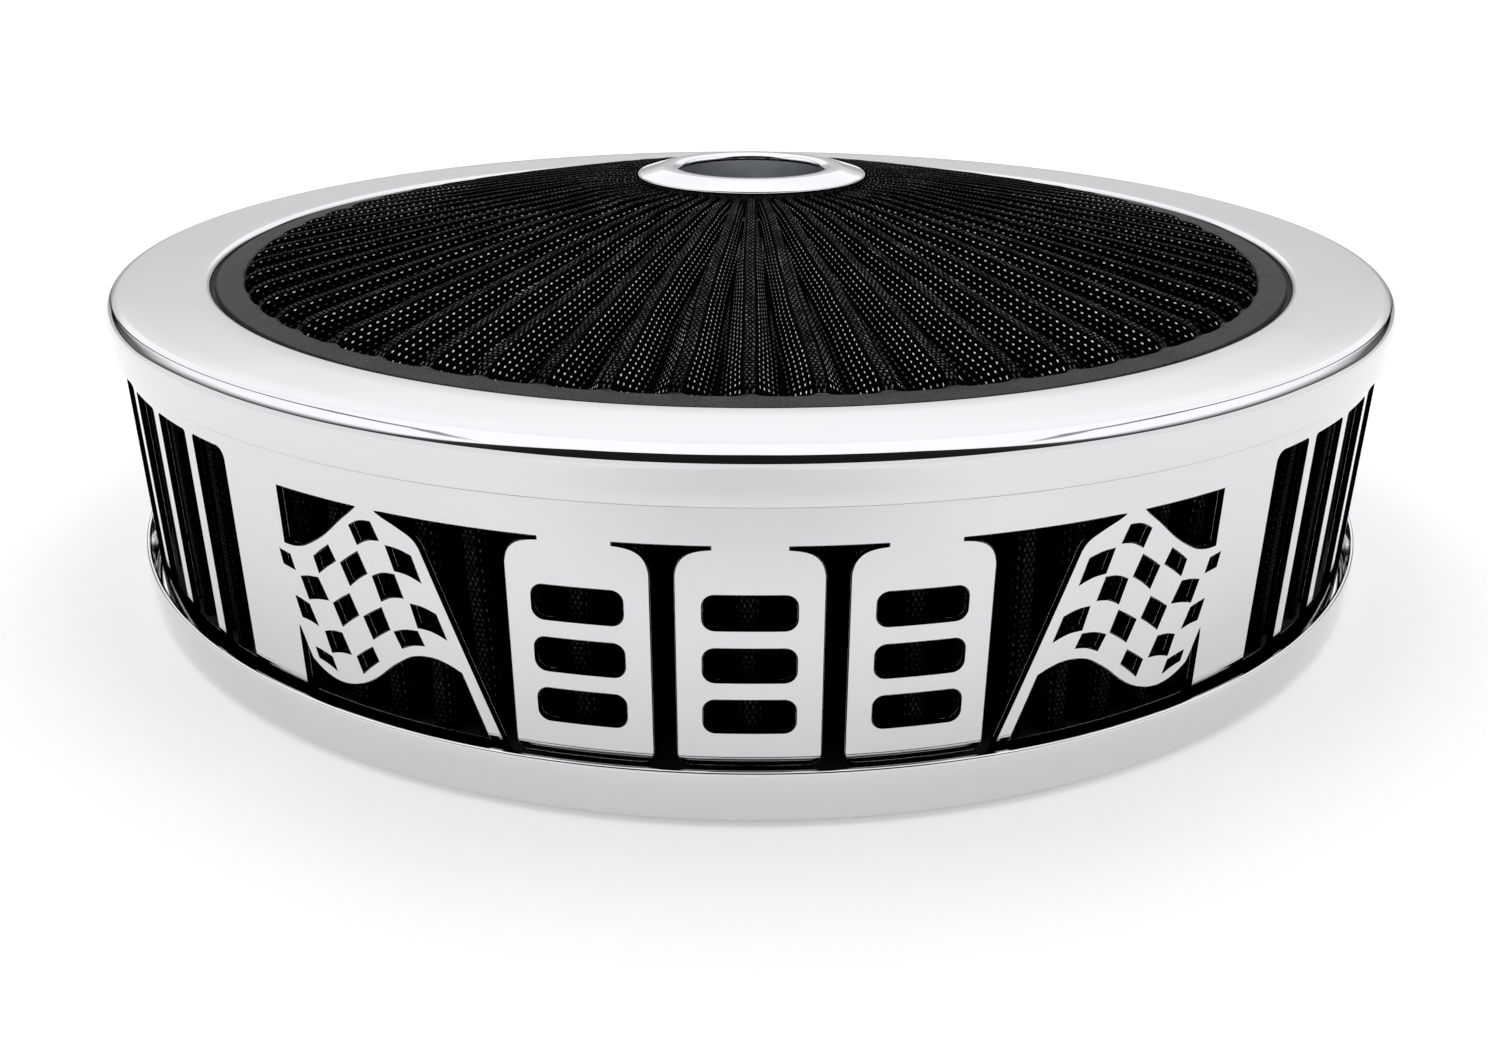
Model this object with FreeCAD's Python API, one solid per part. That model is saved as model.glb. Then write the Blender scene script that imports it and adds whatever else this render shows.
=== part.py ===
import FreeCAD, Part
import math
import os

from FreeCAD import Vector as V

os.makedirs("parts", exist_ok=True)

# Round carburetor air cleaner: recessed ("drop") base pan, pleated side element, laser-cut shroud ring,
# lid ring with a pleated flow-through top filter, hub with a recessed wing nut on the centre stud.
# Frame: +Z up, origin on the surface it stands on, in the middle of the round base. The front window faces -Y.

# ---------------------------------------------------------------- driving dimensions (mm)
Z_LID = 82.0            # top plane of the lid ring above the standing surface
R_LID = 179.7           # outer radius of the lid skirt
T_LID = 1.2             # lid sheet
Z_SKIRT = 71.0          # lower edge of the lid skirt
R_LID_HOLE = 153.45     # inner radius of the rolled edge of the lid ring
Z_ROLL = 77.5           # lower end of that rolled edge

R_RING = 177.3          # outer radius of the shroud ring
T_RING = 1.5
Z_RING0, Z_RING1 = 1.4, 78.0

R_BASE = 180.5          # outer radius of the base rim
T_BASE = 1.4
Z_RIM = 13.2            # top of the base rim
Z_SHELF = 26.0          # mid plane of the recessed shelf
R_NECK = 65.1           # neck bore, a 5-1/8 in air horn
Z_NECK0 = 15.0          # lower end of the neck

N_SIDE = 96             # pleats of the side element
R_SIDE_IN, R_SIDE_OUT = 150.0, 173.2
Z_SP0, Z_SP1 = 9.4, 68.8

N_TOP = 62              # pleats of the top filter
R_TOP_IN, R_TOP_OUT = 32.1, 144.7
Z_CREST_IN, Z_CREST_OUT = 100.6, 82.6
D_TOP_OUT = 5.5         # pleat depth at the frame
T_WIRE, T_GAUZE = 0.4, 1.1

R_HUB, R_HOLE = 32.9, 21.8
Z_HUB = 104.1           # crown of the hub cap
T_HUB = 1.2
R_CUP = 22.4            # inside of the nut cup
Z_CUP = 74.0            # floor of the nut cup
R_STUD = 3.175          # 1/4 in stud
Z_STUD0, Z_STUD1 = 36.0, 90.0
R_STUD_HOLE = 3.7

Z_WIN1, Z_WIN0 = Z_LID - 20.4, Z_LID - 69.2     # front window of the shroud ring
Z_SLOT1, Z_SLOT0 = Z_LID - 16.4, Z_LID - 68.9   # upright slots along its sides
SLOT_PITCH = 6.2                                # degrees
N_SLOTS = 20                                    # plain slots each side, behind the first narrower one


# ---------------------------------------------------------------- helpers
def save(name, shape):
    if shape.ShapeType != "Solid" and len(shape.Solids) == 1:
        shape = shape.Solids[0]
    bad = [] if shape.isValid() else ["INVALID"]
    print("%-22s solids %d faces %4d  volume %10.1f mm3 %s" % (name, len(shape.Solids), len(shape.Faces), shape.Volume, " ".join(bad)))
    shape.exportStep("parts/%s.step" % name)


def unit(a):
    n = math.hypot(a[0], a[1])
    return (a[0] / n, a[1] / n)


def offset_path(pts, d):
    """Mitred offset of an open (r, z) path to its left by d."""
    out = []
    n = len(pts)
    for i in range(n):
        if i == 0:
            t = unit((pts[1][0] - pts[0][0], pts[1][1] - pts[0][1]))
            out.append((pts[0][0] - t[1] * d, pts[0][1] + t[0] * d))
        elif i == n - 1:
            t = unit((pts[-1][0] - pts[-2][0], pts[-1][1] - pts[-2][1]))
            out.append((pts[-1][0] - t[1] * d, pts[-1][1] + t[0] * d))
        else:
            t0 = unit((pts[i][0] - pts[i - 1][0], pts[i][1] - pts[i - 1][1]))
            t1 = unit((pts[i + 1][0] - pts[i][0], pts[i + 1][1] - pts[i][1]))
            n0, n1 = (-t0[1], t0[0]), (-t1[1], t1[0])
            k = 1.0 + n0[0] * n1[0] + n0[1] * n1[1]
            out.append((pts[i][0] + d * (n0[0] + n1[0]) / k, pts[i][1] + d * (n0[1] + n1[1]) / k))
    return out


def fillet_edges(pts, radii, to3d):
    """Edges along an open path of points with a corner radius at each inner point."""
    edges = []
    cur = pts[0]
    n = len(pts)
    for i in range(1, n - 1):
        r = radii[i]
        p = pts[i]
        if r <= 1e-6:
            edges.append(Part.makeLine(to3d(cur), to3d(p)))
            cur = p
            continue
        a = unit((pts[i - 1][0] - p[0], pts[i - 1][1] - p[1]))
        b = unit((pts[i + 1][0] - p[0], pts[i + 1][1] - p[1]))
        dot = max(-1.0, min(1.0, a[0] * b[0] + a[1] * b[1]))
        half = math.acos(dot) / 2.0
        t = r / math.tan(half)
        s = (p[0] + a[0] * t, p[1] + a[1] * t)
        e = (p[0] + b[0] * t, p[1] + b[1] * t)
        bis = unit((a[0] + b[0], a[1] + b[1]))
        c = (p[0] + bis[0] * r / math.sin(half), p[1] + bis[1] * r / math.sin(half))
        m = (c[0] - bis[0] * r, c[1] - bis[1] * r)
        if math.hypot(s[0] - cur[0], s[1] - cur[1]) > 1e-6:
            edges.append(Part.makeLine(to3d(cur), to3d(s)))
        edges.append(Part.Arc(to3d(s), to3d(m), to3d(e)).toShape())
        cur = e
    if math.hypot(pts[-1][0] - cur[0], pts[-1][1] - cur[1]) > 1e-6:
        edges.append(Part.makeLine(to3d(cur), to3d(pts[-1])))
    return edges


def rz(p):
    return V(p[0], 0, p[1])


def turn(edges):
    face = Part.Face(Part.Wire(Part.__sortEdges__(edges)))
    s = face.revolve(V(0, 0, 0), V(0, 0, 1), 360)
    if s.ShapeType != "Solid":
        s = Part.Solid(s.Shells[0]) if s.Shells else s
    if s.Volume < 0:
        s.reverse()
    return s


def sheet_ring(pts, radii, t, round_start=False, round_end=False):
    """Stamped sheet of thickness t turned round Z. pts is the mid line in (r, z), radii its bend radii."""
    left, right = offset_path(pts, t / 2), offset_path(pts, -t / 2)
    rl, rr = list(radii), list(radii)
    for i in range(1, len(pts) - 1):
        if radii[i] <= 0:
            continue
        ax, ay = pts[i][0] - pts[i - 1][0], pts[i][1] - pts[i - 1][1]
        bx, by = pts[i + 1][0] - pts[i][0], pts[i + 1][1] - pts[i][1]
        side = 1 if ax * by - ay * bx > 0 else -1      # turns left: the left side is the inside of the bend
        rl[i] = max(0.05, radii[i] - side * t / 2)
        rr[i] = max(0.05, radii[i] + side * t / 2)
    edges = fillet_edges(left, rl, rz) + fillet_edges(right, rr, rz)

    def cap(a, b, mid, rounded, tangent):
        if not rounded:
            return Part.makeLine(rz(a), rz(b))
        return Part.Arc(rz(a), rz((mid[0] + tangent[0] * t / 2, mid[1] + tangent[1] * t / 2)), rz(b)).toShape()

    t0 = unit((pts[0][0] - pts[1][0], pts[0][1] - pts[1][1]))
    t1 = unit((pts[-1][0] - pts[-2][0], pts[-1][1] - pts[-2][1]))
    edges.append(cap(left[0], right[0], pts[0], round_start, t0))
    edges.append(cap(left[-1], right[-1], pts[-1], round_end, t1))
    return turn(edges)


def solid_ring(pts, radii=None):
    """Closed section in (r, z), with a corner radius at each point, turned round Z."""
    n = len(pts)
    radii = radii or [0] * n
    a, b = pts[-1], pts[0]
    m = ((a[0] + b[0]) / 2, (a[1] + b[1]) / 2)
    path = [m] + list(pts) + [m]
    return turn(fillet_edges(path, [0] + list(radii) + [0], rz))


# ---------------------------------------------------------------- base pan: one stamping with rim, recess and neck
h = T_BASE / 2
base = sheet_ring(
    [(R_BASE - h, Z_RIM - h), (R_BASE - h, h), (141.0, h), (131.0, Z_SHELF), (113.0, Z_SHELF), (109.0, Z_SHELF + 3.4),
     (82.0, Z_SHELF + 3.4), (76.5, Z_SHELF), (R_NECK + h, Z_SHELF), (R_NECK + h, Z_NECK0)],
    [0, 2.2, 5.0, 4.5, 2.5, 2.5, 2.5, 2.5, 2.4, 0], T_BASE, round_start=True)
save("base_pan", base)

# neck gasket: flat ring under the shelf, round the neck
save("neck_gasket", solid_ring([(R_NECK + T_BASE + 0.1, Z_SHELF - h - 3.2), (74.0, Z_SHELF - h - 3.2), (74.0, Z_SHELF - h),
                                (R_NECK + T_BASE + 2.6, Z_SHELF - h), (R_NECK + T_BASE + 0.1, Z_SHELF - h - 2.4)], [0.4, 0.4, 0, 0, 0]))


# ---------------------------------------------------------------- side element
def zigzag_ring(n, r_in, r_out, a_out, a_in, z0, z1, layer):
    """Pleated wall. a_out/a_in: half angle in degrees of the crest at r_out and of the fold at r_in, on the outer skin;
    layer = (angle, radial) shift of the inner skin."""
    half = 180.0 / n

    def outline(ro, ri, ao, ai):
        pts = []
        for k in range(n):
            c = 2 * half * k
            for r, a in ((ro, c - ao), (ro, c + ao), (ri, c + half - ai), (ri, c + half + ai)):
                ph = math.radians(a)
                pts.append(V(r * math.cos(ph), r * math.sin(ph), z0))
        pts.append(pts[0])
        return Part.makePolygon(pts)

    da, dr = layer
    outer = outline(r_out, r_in, a_out, a_in)
    inner = outline(r_out - dr, r_in - dr, a_out - da, a_in + da)
    face = Part.makeFace([outer, inner], "Part::FaceMakerBullseye")
    s = face.extrude(V(0, 0, z1 - z0))
    return s.Solids[0]


GAP = 0.05
ws, gs = T_WIRE / 173.2 * 57.2958 * 1.08, T_GAUZE / 173.2 * 57.2958 * 1.08
gp = GAP / 173.2 * 57.2958
a0, v0 = 0.78, 0.42
save("side_wire_outer", zigzag_ring(N_SIDE, R_SIDE_IN + 2, R_SIDE_OUT, a0, v0, Z_SP0, Z_SP1, (ws, T_WIRE)))
a1, v1, q = a0 - ws - gp, v0 + ws + gp, T_WIRE + GAP
save("side_pleats", zigzag_ring(N_SIDE, R_SIDE_IN + 2 - q, R_SIDE_OUT - q, a1, v1, Z_SP0, Z_SP1, (gs, T_GAUZE)))
a2, v2, q2 = a1 - gs - gp, v1 + gs + gp, q + T_GAUZE + GAP
save("side_wire_inner", zigzag_ring(N_SIDE, R_SIDE_IN + 2 - q2, R_SIDE_OUT - q2, a2, v2, Z_SP0, Z_SP1, (ws * 0.8, T_WIRE)))

# moulded end seals: the lower one lies on the pan, the upper one has a raised bead that meets the lid
save("side_seal_bottom", solid_ring([(147.2, T_BASE), (175.2, T_BASE), (175.2, Z_SP0), (147.2, Z_SP0)], [1.5, 1.0, 1.0, 1.0]))
save("side_seal_top", solid_ring([(148.9, Z_SP1), (175.2, Z_SP1), (175.2, 77.0), (173.2, 80.6), (161.5, 80.3), (161.5, 73.2),
                                  (148.9, 73.2)], [1.0, 1.0, 1.0, 1.0, 1.0, 0.6, 1.0]))


# ---------------------------------------------------------------- shroud ring, cut through radially
def rad_point(phi, z, phc, r):
    """Point of the outer face at angle phi (degrees from the front, + towards +X), carried along the direction phc to depth r."""
    a, c = math.radians(phi), math.radians(phc)
    lateral = R_RING * math.sin(a - c)
    dx, dy = math.sin(c), -math.cos(c)       # outward direction at phc
    tx, ty = math.cos(c), math.sin(c)        # to the right of it
    return V(dx * r + tx * lateral, dy * r + ty * lateral, z)


def cutter(segments, phc):
    """segments: list of ('L', [points]) or ('S', [points]) in (phi, z relative to the lid plane), forming a closed loop."""
    r0, r1 = 168.0 * math.cos(math.radians(0)), 186.0
    edges = []
    for kind, pts in segments:
        vs = [rad_point(p[0], Z_LID + p[1], phc, r0) for p in pts]
        if kind == "L":
            for a, b in zip(vs[:-1], vs[1:]):
                edges.append(Part.makeLine(a, b))
        else:
            c = Part.BSplineCurve()
            c.interpolate(vs)
            edges.append(c.toShape())
    wire = Part.Wire(edges)
    face = Part.Face(wire)
    c = math.radians(phc)
    return face.extrude(V(math.sin(c), -math.cos(c), 0) * (r1 - r0))


def deg(mm):
    return mm / R_RING * 57.29578


def rect_cut(p0, p1, z0, z1, radii):
    """Upright rectangle; radii (mm) at lower left, lower right, upper right, upper left."""
    phc = (p0 + p1) / 2
    ll, lr, ur, ul = radii
    k = 0.29289
    segs = []

    def arc(a, m, b):
        segs.append(("S", [a, m, b]))

    segs.append(("L", [(p0 + deg(ll), z0), (p1 - deg(lr), z0)]))
    if lr:
        arc((p1 - deg(lr), z0), (p1 - deg(lr * k), z0 + lr * k), (p1, z0 + lr))
    segs.append(("L", [(p1, z0 + lr), (p1, z1 - ur)]))
    if ur:
        arc((p1, z1 - ur), (p1 - deg(ur * k), z1 - ur * k), (p1 - deg(ur), z1))
    segs.append(("L", [(p1 - deg(ur), z1), (p0 + deg(ul), z1)]))
    if ul:
        arc((p0 + deg(ul), z1), (p0 + deg(ul * k), z1 - ul * k), (p0, z1 - ul))
    segs.append(("L", [(p0, z1 - ul), (p0, z0 + ll)]))
    if ll:
        arc((p0, z0 + ll), (p0 + deg(ll * k), z0 + ll * k), (p0 + deg(ll), z0))
    return cutter(segs, phc)


def mirror(segs):
    return [(k, [(-p[0], p[1]) for p in pts]) for k, pts in segs]


cuts = []
TOP, BOT = -20.4, -69.2
# the field above the left flag
above_flag = [("L", [(-26.7, TOP), (-33.85, TOP), (-33.85, -33.3)]),
              ("S", [(-33.85, -33.3), (-33.2, -33.35), (-32.6, -33.1), (-31.9, -32.5), (-31.2, -31.4), (-30.3, -29.7), (-29.4, -27.6),
                     (-28.6, -25.4), (-27.9, -23.5), (-27.25, -21.9), (-26.7, TOP)])]
# the field under the left flag, down to the thin rail
below_flag = [("L", [(-33.6, -53.0), (-33.6, BOT), (-17.65, BOT), (-19.45, -53.8)]),
              ("S", [(-19.45, -53.8), (-20.1, -52.8), (-20.9, -51.9), (-21.6, -51.6), (-22.5, -51.8), (-23.4, -52.65), (-24.2, -54.2),
                     (-25.0, -56.0), (-25.8, -58.2), (-26.6, -60.2), (-27.6, -62.1), (-28.5, -63.2), (-29.5, -63.8), (-30.5, -63.6),
                     (-31.4, -62.7), (-32.2, -61.3), (-32.6, -60.4)]),
              ("S", [(-32.6, -60.4), (-32.9, -58.4), (-33.2, -56.0), (-33.6, -53.0)])]
# three louvred plates hang from the upper band: half width, gaps and shoulders in degrees
P_OUT, P_GAP = 15.7, 1.5
P_W = (2 * P_OUT - 2 * P_GAP) / 3.0
SH_A, SH_Z = 2.3, 5.6                      # shoulder: angle and drop


def shoulder(edge, sgn):
    """Curve from the plate's upright edge up to its neck; sgn +1 where the plate lies towards +phi."""
    return [(edge, TOP - 0.5 - SH_Z), (edge + sgn * 0.10 * SH_A, TOP - 0.5 - 0.55 * SH_Z), (edge + sgn * 0.33 * SH_A, TOP - 0.5 - 0.22 * SH_Z),
            (edge + sgn * 0.65 * SH_A, TOP - 0.5 - 0.06 * SH_Z), (edge + sgn * SH_A, TOP - 0.5)]


FOOT = 2.6                                 # corner radius at the plates' feet, mm


def foot(edge, sgn):
    k = 0.29289
    return [(edge + sgn * deg(FOOT), BOT), (edge + sgn * deg(FOOT * k), BOT + FOOT * k), (edge, BOT + FOOT)]


SUNK = -72.6                               # the plates hang free above a field that runs down behind the rim
# between the left pole and the first plate
e = -P_OUT
side_field = [("S", [(-21.75, -26.8), (-22.1, -25.2), (-22.5, -24.2), (-22.95, -23.45), (-23.8, -22.2), (-24.6, -21.1), (-25.0, TOP)]),
              ("L", [(-25.0, TOP), (e + SH_A, TOP), (e + SH_A, TOP - 0.5)]),
              ("S", list(reversed(shoulder(e, 1)))),
              ("L", [(e, TOP - 0.5 - SH_Z), (e, BOT + FOOT)]),
              ("S", list(reversed(foot(e, 1)))),
              ("L", [(e + deg(FOOT), BOT), (e + deg(FOOT), SUNK), (-16.1, SUNK), (-16.55, BOT), (-21.75, -26.8)])]
for segs, phc in ((above_flag, -30.3), (below_flag, -25.6), (side_field, -18.5)):
    cuts.append(cutter(segs, phc))
    cuts.append(cutter(mirror(segs), -phc))
# between the plates
for g in (-P_W / 2 - P_GAP / 2, P_W / 2 + P_GAP / 2):
    a, b = g - P_GAP / 2, g + P_GAP / 2       # right edge of one plate, left edge of the next
    segs = [("L", [(a - SH_A, TOP - 0.5), (a - SH_A, TOP), (b + SH_A, TOP), (b + SH_A, TOP - 0.5)]),
            ("S", list(reversed(shoulder(b, 1)))),
            ("L", [(b, TOP - 0.5 - SH_Z), (b, BOT + FOOT)]),
            ("S", list(reversed(foot(b, 1)))),
            ("L", [(b + deg(FOOT), BOT), (b + deg(FOOT), SUNK), (a - deg(FOOT), SUNK), (a - deg(FOOT), BOT)]),
            ("S", foot(a, -1)),
            ("L", [(a, BOT + FOOT), (a, TOP - 0.5 - SH_Z)]),
            ("S", shoulder(a, -1))]
    cuts.append(cutter(segs, g))
# the field under the plates, in short lengths so that its ends stay square to the ring
x0, x1 = -P_OUT + deg(FOOT) - 0.2, P_OUT - deg(FOOT) + 0.2
for i in range(5):
    a = x0 + (x1 - x0) * i / 5.0 - 0.05
    b = x0 + (x1 - x0) * (i + 1) / 5.0 + 0.05
    cuts.append(cutter([("L", [(a, SUNK), (b, SUNK), (b, BOT), (a, BOT), (a, SUNK)])], (a + b) / 2))
# louvres: three long slots in each plate
for k in (-1, 0, 1):
    c = k * (P_W + P_GAP)
    for zc in (-34.4, -46.0, -57.6):
        cuts.append(rect_cut(c - P_W / 2 + 1.75, c + P_W / 2 - 1.75, zc - 3.75, zc + 3.75, (2.4, 2.4, 2.4, 2.4)))
# chequers of the left flag: upper left, upper right, lower right, lower left, rise of the upper and of the lower side
CHECKS = [
    ((-27.3, -24.9), (-25.5, -23.1), (-25.0, -26.7), (-26.8, -28.7), 0.6, 0.5),
    ((-24.4, -27.7), (-22.5, -28.8), (-21.95, -34.2), (-23.9, -32.8), 0.3, 0.4),
    ((-31.0, -34.5), (-29.5, -30.9), (-29.0, -34.0), (-30.7, -37.9), 0.1, 0.1),
    ((-28.5, -34.2), (-26.9, -30.6), (-26.3, -35.0), (-27.9, -38.8), 0.1, 0.2),
    ((-25.8, -35.4), (-24.0, -33.9), (-23.5, -38.7), (-25.3, -40.6), 0.5, 0.5),
    ((-22.9, -39.9), (-21.0, -41.1), (-20.4, -46.3), (-22.5, -44.9), 0.4, 0.5),
    ((-34.5, -35.5), (-33.5, -36.0), (-33.2, -39.2), (-34.3, -38.7), 0.0, 0.0),
    ((-32.6, -40.5), (-30.9, -39.5), (-30.2, -44.0), (-32.1, -45.3), 0.2, 0.2),
    ((-29.7, -44.5), (-28.1, -41.1), (-27.5, -45.5), (-29.1, -49.3), 0.1, 0.1),
    ((-27.0, -45.6), (-25.4, -42.4), (-24.9, -47.0), (-26.4, -50.3), 0.1, 0.1),
    ((-24.5, -47.4), (-22.6, -46.0), (-22.2, -48.9), (-24.0, -50.7), 0.4, 0.4),
    ((-33.5, -45.9), (-32.2, -46.8), (-31.6, -51.2), (-33.1, -50.5), 0.1, 0.2),
    ((-30.9, -52.3), (-29.3, -51.3), (-28.7, -55.8), (-30.5, -56.9), 0.3, 0.3),
    ((-28.1, -56.0), (-26.6, -52.6), (-26.2, -55.5), (-27.7, -59.6), 0.1, 0.1),
    ((-32.1, -57.2), (-30.6, -58.2), (-30.3, -61.1), (-31.9, -59.5), 0.1, 0.2),
]
for ul, ur, lr, ll, up, lo in CHECKS:
    m_up = ((ul[0] + ur[0]) / 2, (ul[1] + ur[1]) / 2 + up)
    m_lo = ((ll[0] + lr[0]) / 2, (ll[1] + lr[1]) / 2 + lo)
    segs = [("S", [ul, m_up, ur]) if up else ("L", [ul, ur]), ("L", [ur, lr]),
            ("S", [lr, m_lo, ll]) if lo else ("L", [lr, ll]), ("L", [ll, ul])]
    phc = (ul[0] + ur[0] + lr[0] + ll[0]) / 4
    cuts.append(cutter(segs, phc))
    cuts.append(cutter(mirror(segs), -phc))
# upright slots round both sides; the back keeps a plain panel where the strip is butt-welded
s0, s1 = Z_SLOT0 - Z_LID, Z_SLOT1 - Z_LID
for sg in (-1, 1):
    lo, hi = 39.75, 44.0
    radii = (0.8, 0.8, 2.6, 0.8) if sg < 0 else (0.8, 0.8, 0.8, 2.6)
    cuts.append(rect_cut(-hi if sg < 0 else lo, -lo if sg < 0 else hi, s0, s1, radii))
    for j in range(N_SLOTS):
        lo = 45.3 + SLOT_PITCH * j
        hi = lo + 4.9
        cuts.append(rect_cut(-hi if sg < 0 else lo, -lo if sg < 0 else hi, s0, s1, (0.8, 0.8, 0.8, 0.8)))

hoop = Part.makeCylinder(R_RING, Z_RING1 - Z_RING0, V(0, 0, Z_RING0)).cut(
    Part.makeCylinder(R_RING - T_RING, Z_RING1 - Z_RING0 + 2, V(0, 0, Z_RING0 - 1)))
hoop.rotate(V(0, 0, 0), V(0, 0, 1), 90)     # the seam of the round face lies at the back panel
ring = hoop.cut(cuts)
save("shroud_ring", ring)

# ---------------------------------------------------------------- lid ring: flat ring, rounded shoulder, skirt, rolled inner edge
h = T_LID / 2
lid = sheet_ring([(R_LID - h, Z_SKIRT), (R_LID - h, Z_LID - h), (R_LID_HOLE + h, Z_LID - h - 0.52), (R_LID_HOLE + h, Z_ROLL)],
                 [0, 3.6, 0.95, 0], T_LID, round_start=True)
save("lid_ring", lid)

# ---------------------------------------------------------------- top filter: moulded frame, pleats and their wire cloths
Z_FT = 81.0
frame = solid_ring([(R_TOP_OUT + 0.1, Z_FT), (R_TOP_OUT + 0.1, 70.5), (147.2, 69.8), (148.2, 73.6), (159.4, 73.6), (159.4, 80.2),
                    (157.4, 80.15), (155.6, 79.2), (155.6, Z_ROLL), (R_LID_HOLE, Z_ROLL), (R_LID_HOLE, 78.9), (152.5, 79.0), (152.05, 80.74)],
                   [0.8, 0.8, 1.0, 1.0, 1.0, 0.6, 0.2, 0.3, 0, 0, 0, 0.2, 0.25])
save("top_filter_frame", frame)

SLOPE = (Z_CREST_IN - Z_CREST_OUT) / (R_TOP_OUT - R_TOP_IN)
Z_APEX = Z_CREST_IN + SLOPE * R_TOP_IN
SV = SLOPE + D_TOP_OUT / R_TOP_OUT          # slope of the folds' bottoms: same apex, so that every flank is flat


def fan_surface(drop, a_c, a_v):
    """Corner points (inner, outer) of a fan-pleated skin lowered by drop."""
    half = 180.0 / N_TOP
    inner, outer = [], []
    for k in range(N_TOP):
        c = 2 * half * k
        for a, s in ((c - a_c, SLOPE), (c + a_c, SLOPE), (c + half - a_v, SV), (c + half + a_v, SV)):
            ph = math.radians(a - 90.0)
            for r, lst in ((R_TOP_IN, inner), (R_TOP_OUT, outer)):
                lst.append(V(r * math.cos(ph), r * math.sin(ph), Z_APEX - drop - s * r))
    return inner, outer


def fan_solid(top, bottom):
    ti, to = top
    bi, bo = bottom
    n = len(ti)
    faces = []

    def quad(a, b, c, d):
        faces.append(Part.Face(Part.makePolygon([a, b, c, d, a])))

    def end(a0, a1, b1, b0):
        # the end strip between the two skins: two triangles
        faces.append(Part.Face(Part.makePolygon([a0, a1, b1, a0])))
        faces.append(Part.Face(Part.makePolygon([a0, b1, b0, a0])))

    for i in range(n):
        j = (i + 1) % n
        quad(ti[i], to[i], to[j], ti[j])
        quad(bi[i], bi[j], bo[j], bo[i])
        end(ti[i], ti[j], bi[j], bi[i])
        end(to[j], to[i], bo[i], bo[j])
    shell = Part.makeShell(faces)
    s = Part.Solid(shell)
    if s.Volume < 0:
        s.reverse()
    return s


wt = T_WIRE / R_TOP_OUT * 57.2958 * 1.02
gt = T_GAUZE / R_TOP_OUT * 57.2958 * 1.02
gg = GAP / R_TOP_OUT * 57.2958
a0, v0, d0 = 0.98, 0.36, 0.0
a1, v1, d1 = a0 - wt, v0 + wt, T_WIRE
save("top_wire_upper", fan_solid(fan_surface(d0, a0, v0), fan_surface(d1, a1, v1)))
a1, v1, d1 = a1 - gg, v1 + gg, d1 + GAP
a2, v2, d2 = a1 - gt, v1 + gt, d1 + T_GAUZE
save("top_pleats", fan_solid(fan_surface(d1, a1, v1), fan_surface(d2, a2, v2)))
a2, v2, d2 = a2 - gg, v2 + gg, d2 + GAP
a3, v3, d3 = a2 - wt * 0.8, v2 + wt * 0.8, d2 + T_WIRE
save("top_wire_lower", fan_solid(fan_surface(d2, a2, v2), fan_surface(d3, a3, v3)))

# ---------------------------------------------------------------- hub: cap, nut cup, moulded core, backing plate
h = T_HUB / 2
cap = sheet_ring([(R_HUB, 101.65), (26.6, Z_HUB - h), (22.35, Z_HUB - h), (22.0, 102.45)], [0, 6.0, 1.4, 0], T_HUB, round_start=True)
save("hub_cap", cap)
T_CUP = 1.0
cup = sheet_ring([(R_CUP + T_CUP / 2, 102.0), (R_CUP + T_CUP / 2, Z_CUP - T_CUP / 2), (R_STUD_HOLE, Z_CUP - T_CUP / 2)], [0, 2.5, 0], T_CUP)
save("nut_cup", cup)
save("hub_core", solid_ring([(R_CUP + T_CUP, 73.0), (28.6, 73.0), (32.0, 80.0), (32.0, 100.6), (29.5, 101.5), (26.0, 102.1), (R_CUP + T_CUP, 101.5)],
                            [2.4, 1.5, 3.0, 0.3, 0, 0, 0]))
save("hub_backing_plate", sheet_ring([(27.6, 70.9), (25.0, 72.4), (R_STUD_HOLE, 72.4)], [0, 2.0, 0], 1.2))

# ---------------------------------------------------------------- stud, seal washer, captive washer, wing nut
# threaded at both ends, with a slimmer plain shank between
c = 0.7
Z_SH0, Z_SH1, R_SH = Z_STUD0 + 14.0, Z_CUP - 8.0, R_STUD - 0.4
stud = Part.makeCone(R_STUD - c, R_STUD, c, V(0, 0, Z_STUD0)).fuse(
    [Part.makeCylinder(R_STUD, Z_SH0 - Z_STUD0 - c, V(0, 0, Z_STUD0 + c)),
     Part.makeCylinder(R_SH, Z_SH1 - Z_SH0, V(0, 0, Z_SH0)),
     Part.makeCylinder(R_STUD, Z_STUD1 - c - Z_SH1, V(0, 0, Z_SH1)),
     Part.makeCone(R_STUD, R_STUD - c, c, V(0, 0, Z_STUD1 - c))]).removeSplitter()
save("centre_stud", stud)

Z_W0 = Z_CUP                   # rubber-faced seal washer on the cup floor
save("seal_washer", solid_ring([(R_STUD + 0.3, Z_W0), (9.6, Z_W0), (9.6, Z_W0 + 1.5), (R_STUD + 0.3, Z_W0 + 1.5)], [0, 0.4, 0.4, 0]))
Z_N0 = Z_W0 + 1.55             # captive washer on the wing nut: lifts with it, doesn't turn
save("nut_washer", solid_ring([(5.75, Z_N0), (9.0, Z_N0), (9.0, Z_N0 + 1.5), (4.65, Z_N0 + 1.5), (4.65, Z_N0 + 0.75), (5.75, Z_N0 + 0.75)],
                              [0, 0.35, 0.35, 0, 0, 0]))

R_NUT = R_STUD + 0.08
z = Z_N0
body = solid_ring([(R_NUT, z + 0.1), (5.35, z + 0.1), (5.35, z + 0.65), (4.4, z + 0.65), (4.4, z + 1.6), (7.2, z + 1.6), (7.2, z + 3.0),
                   (5.9, z + 4.2), (5.1, z + 11.2), (R_NUT, z + 11.2)], [0, 0, 0, 0, 0, 0.5, 0.5, 1.0, 0.6, 0])
TW = 2.3


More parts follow.
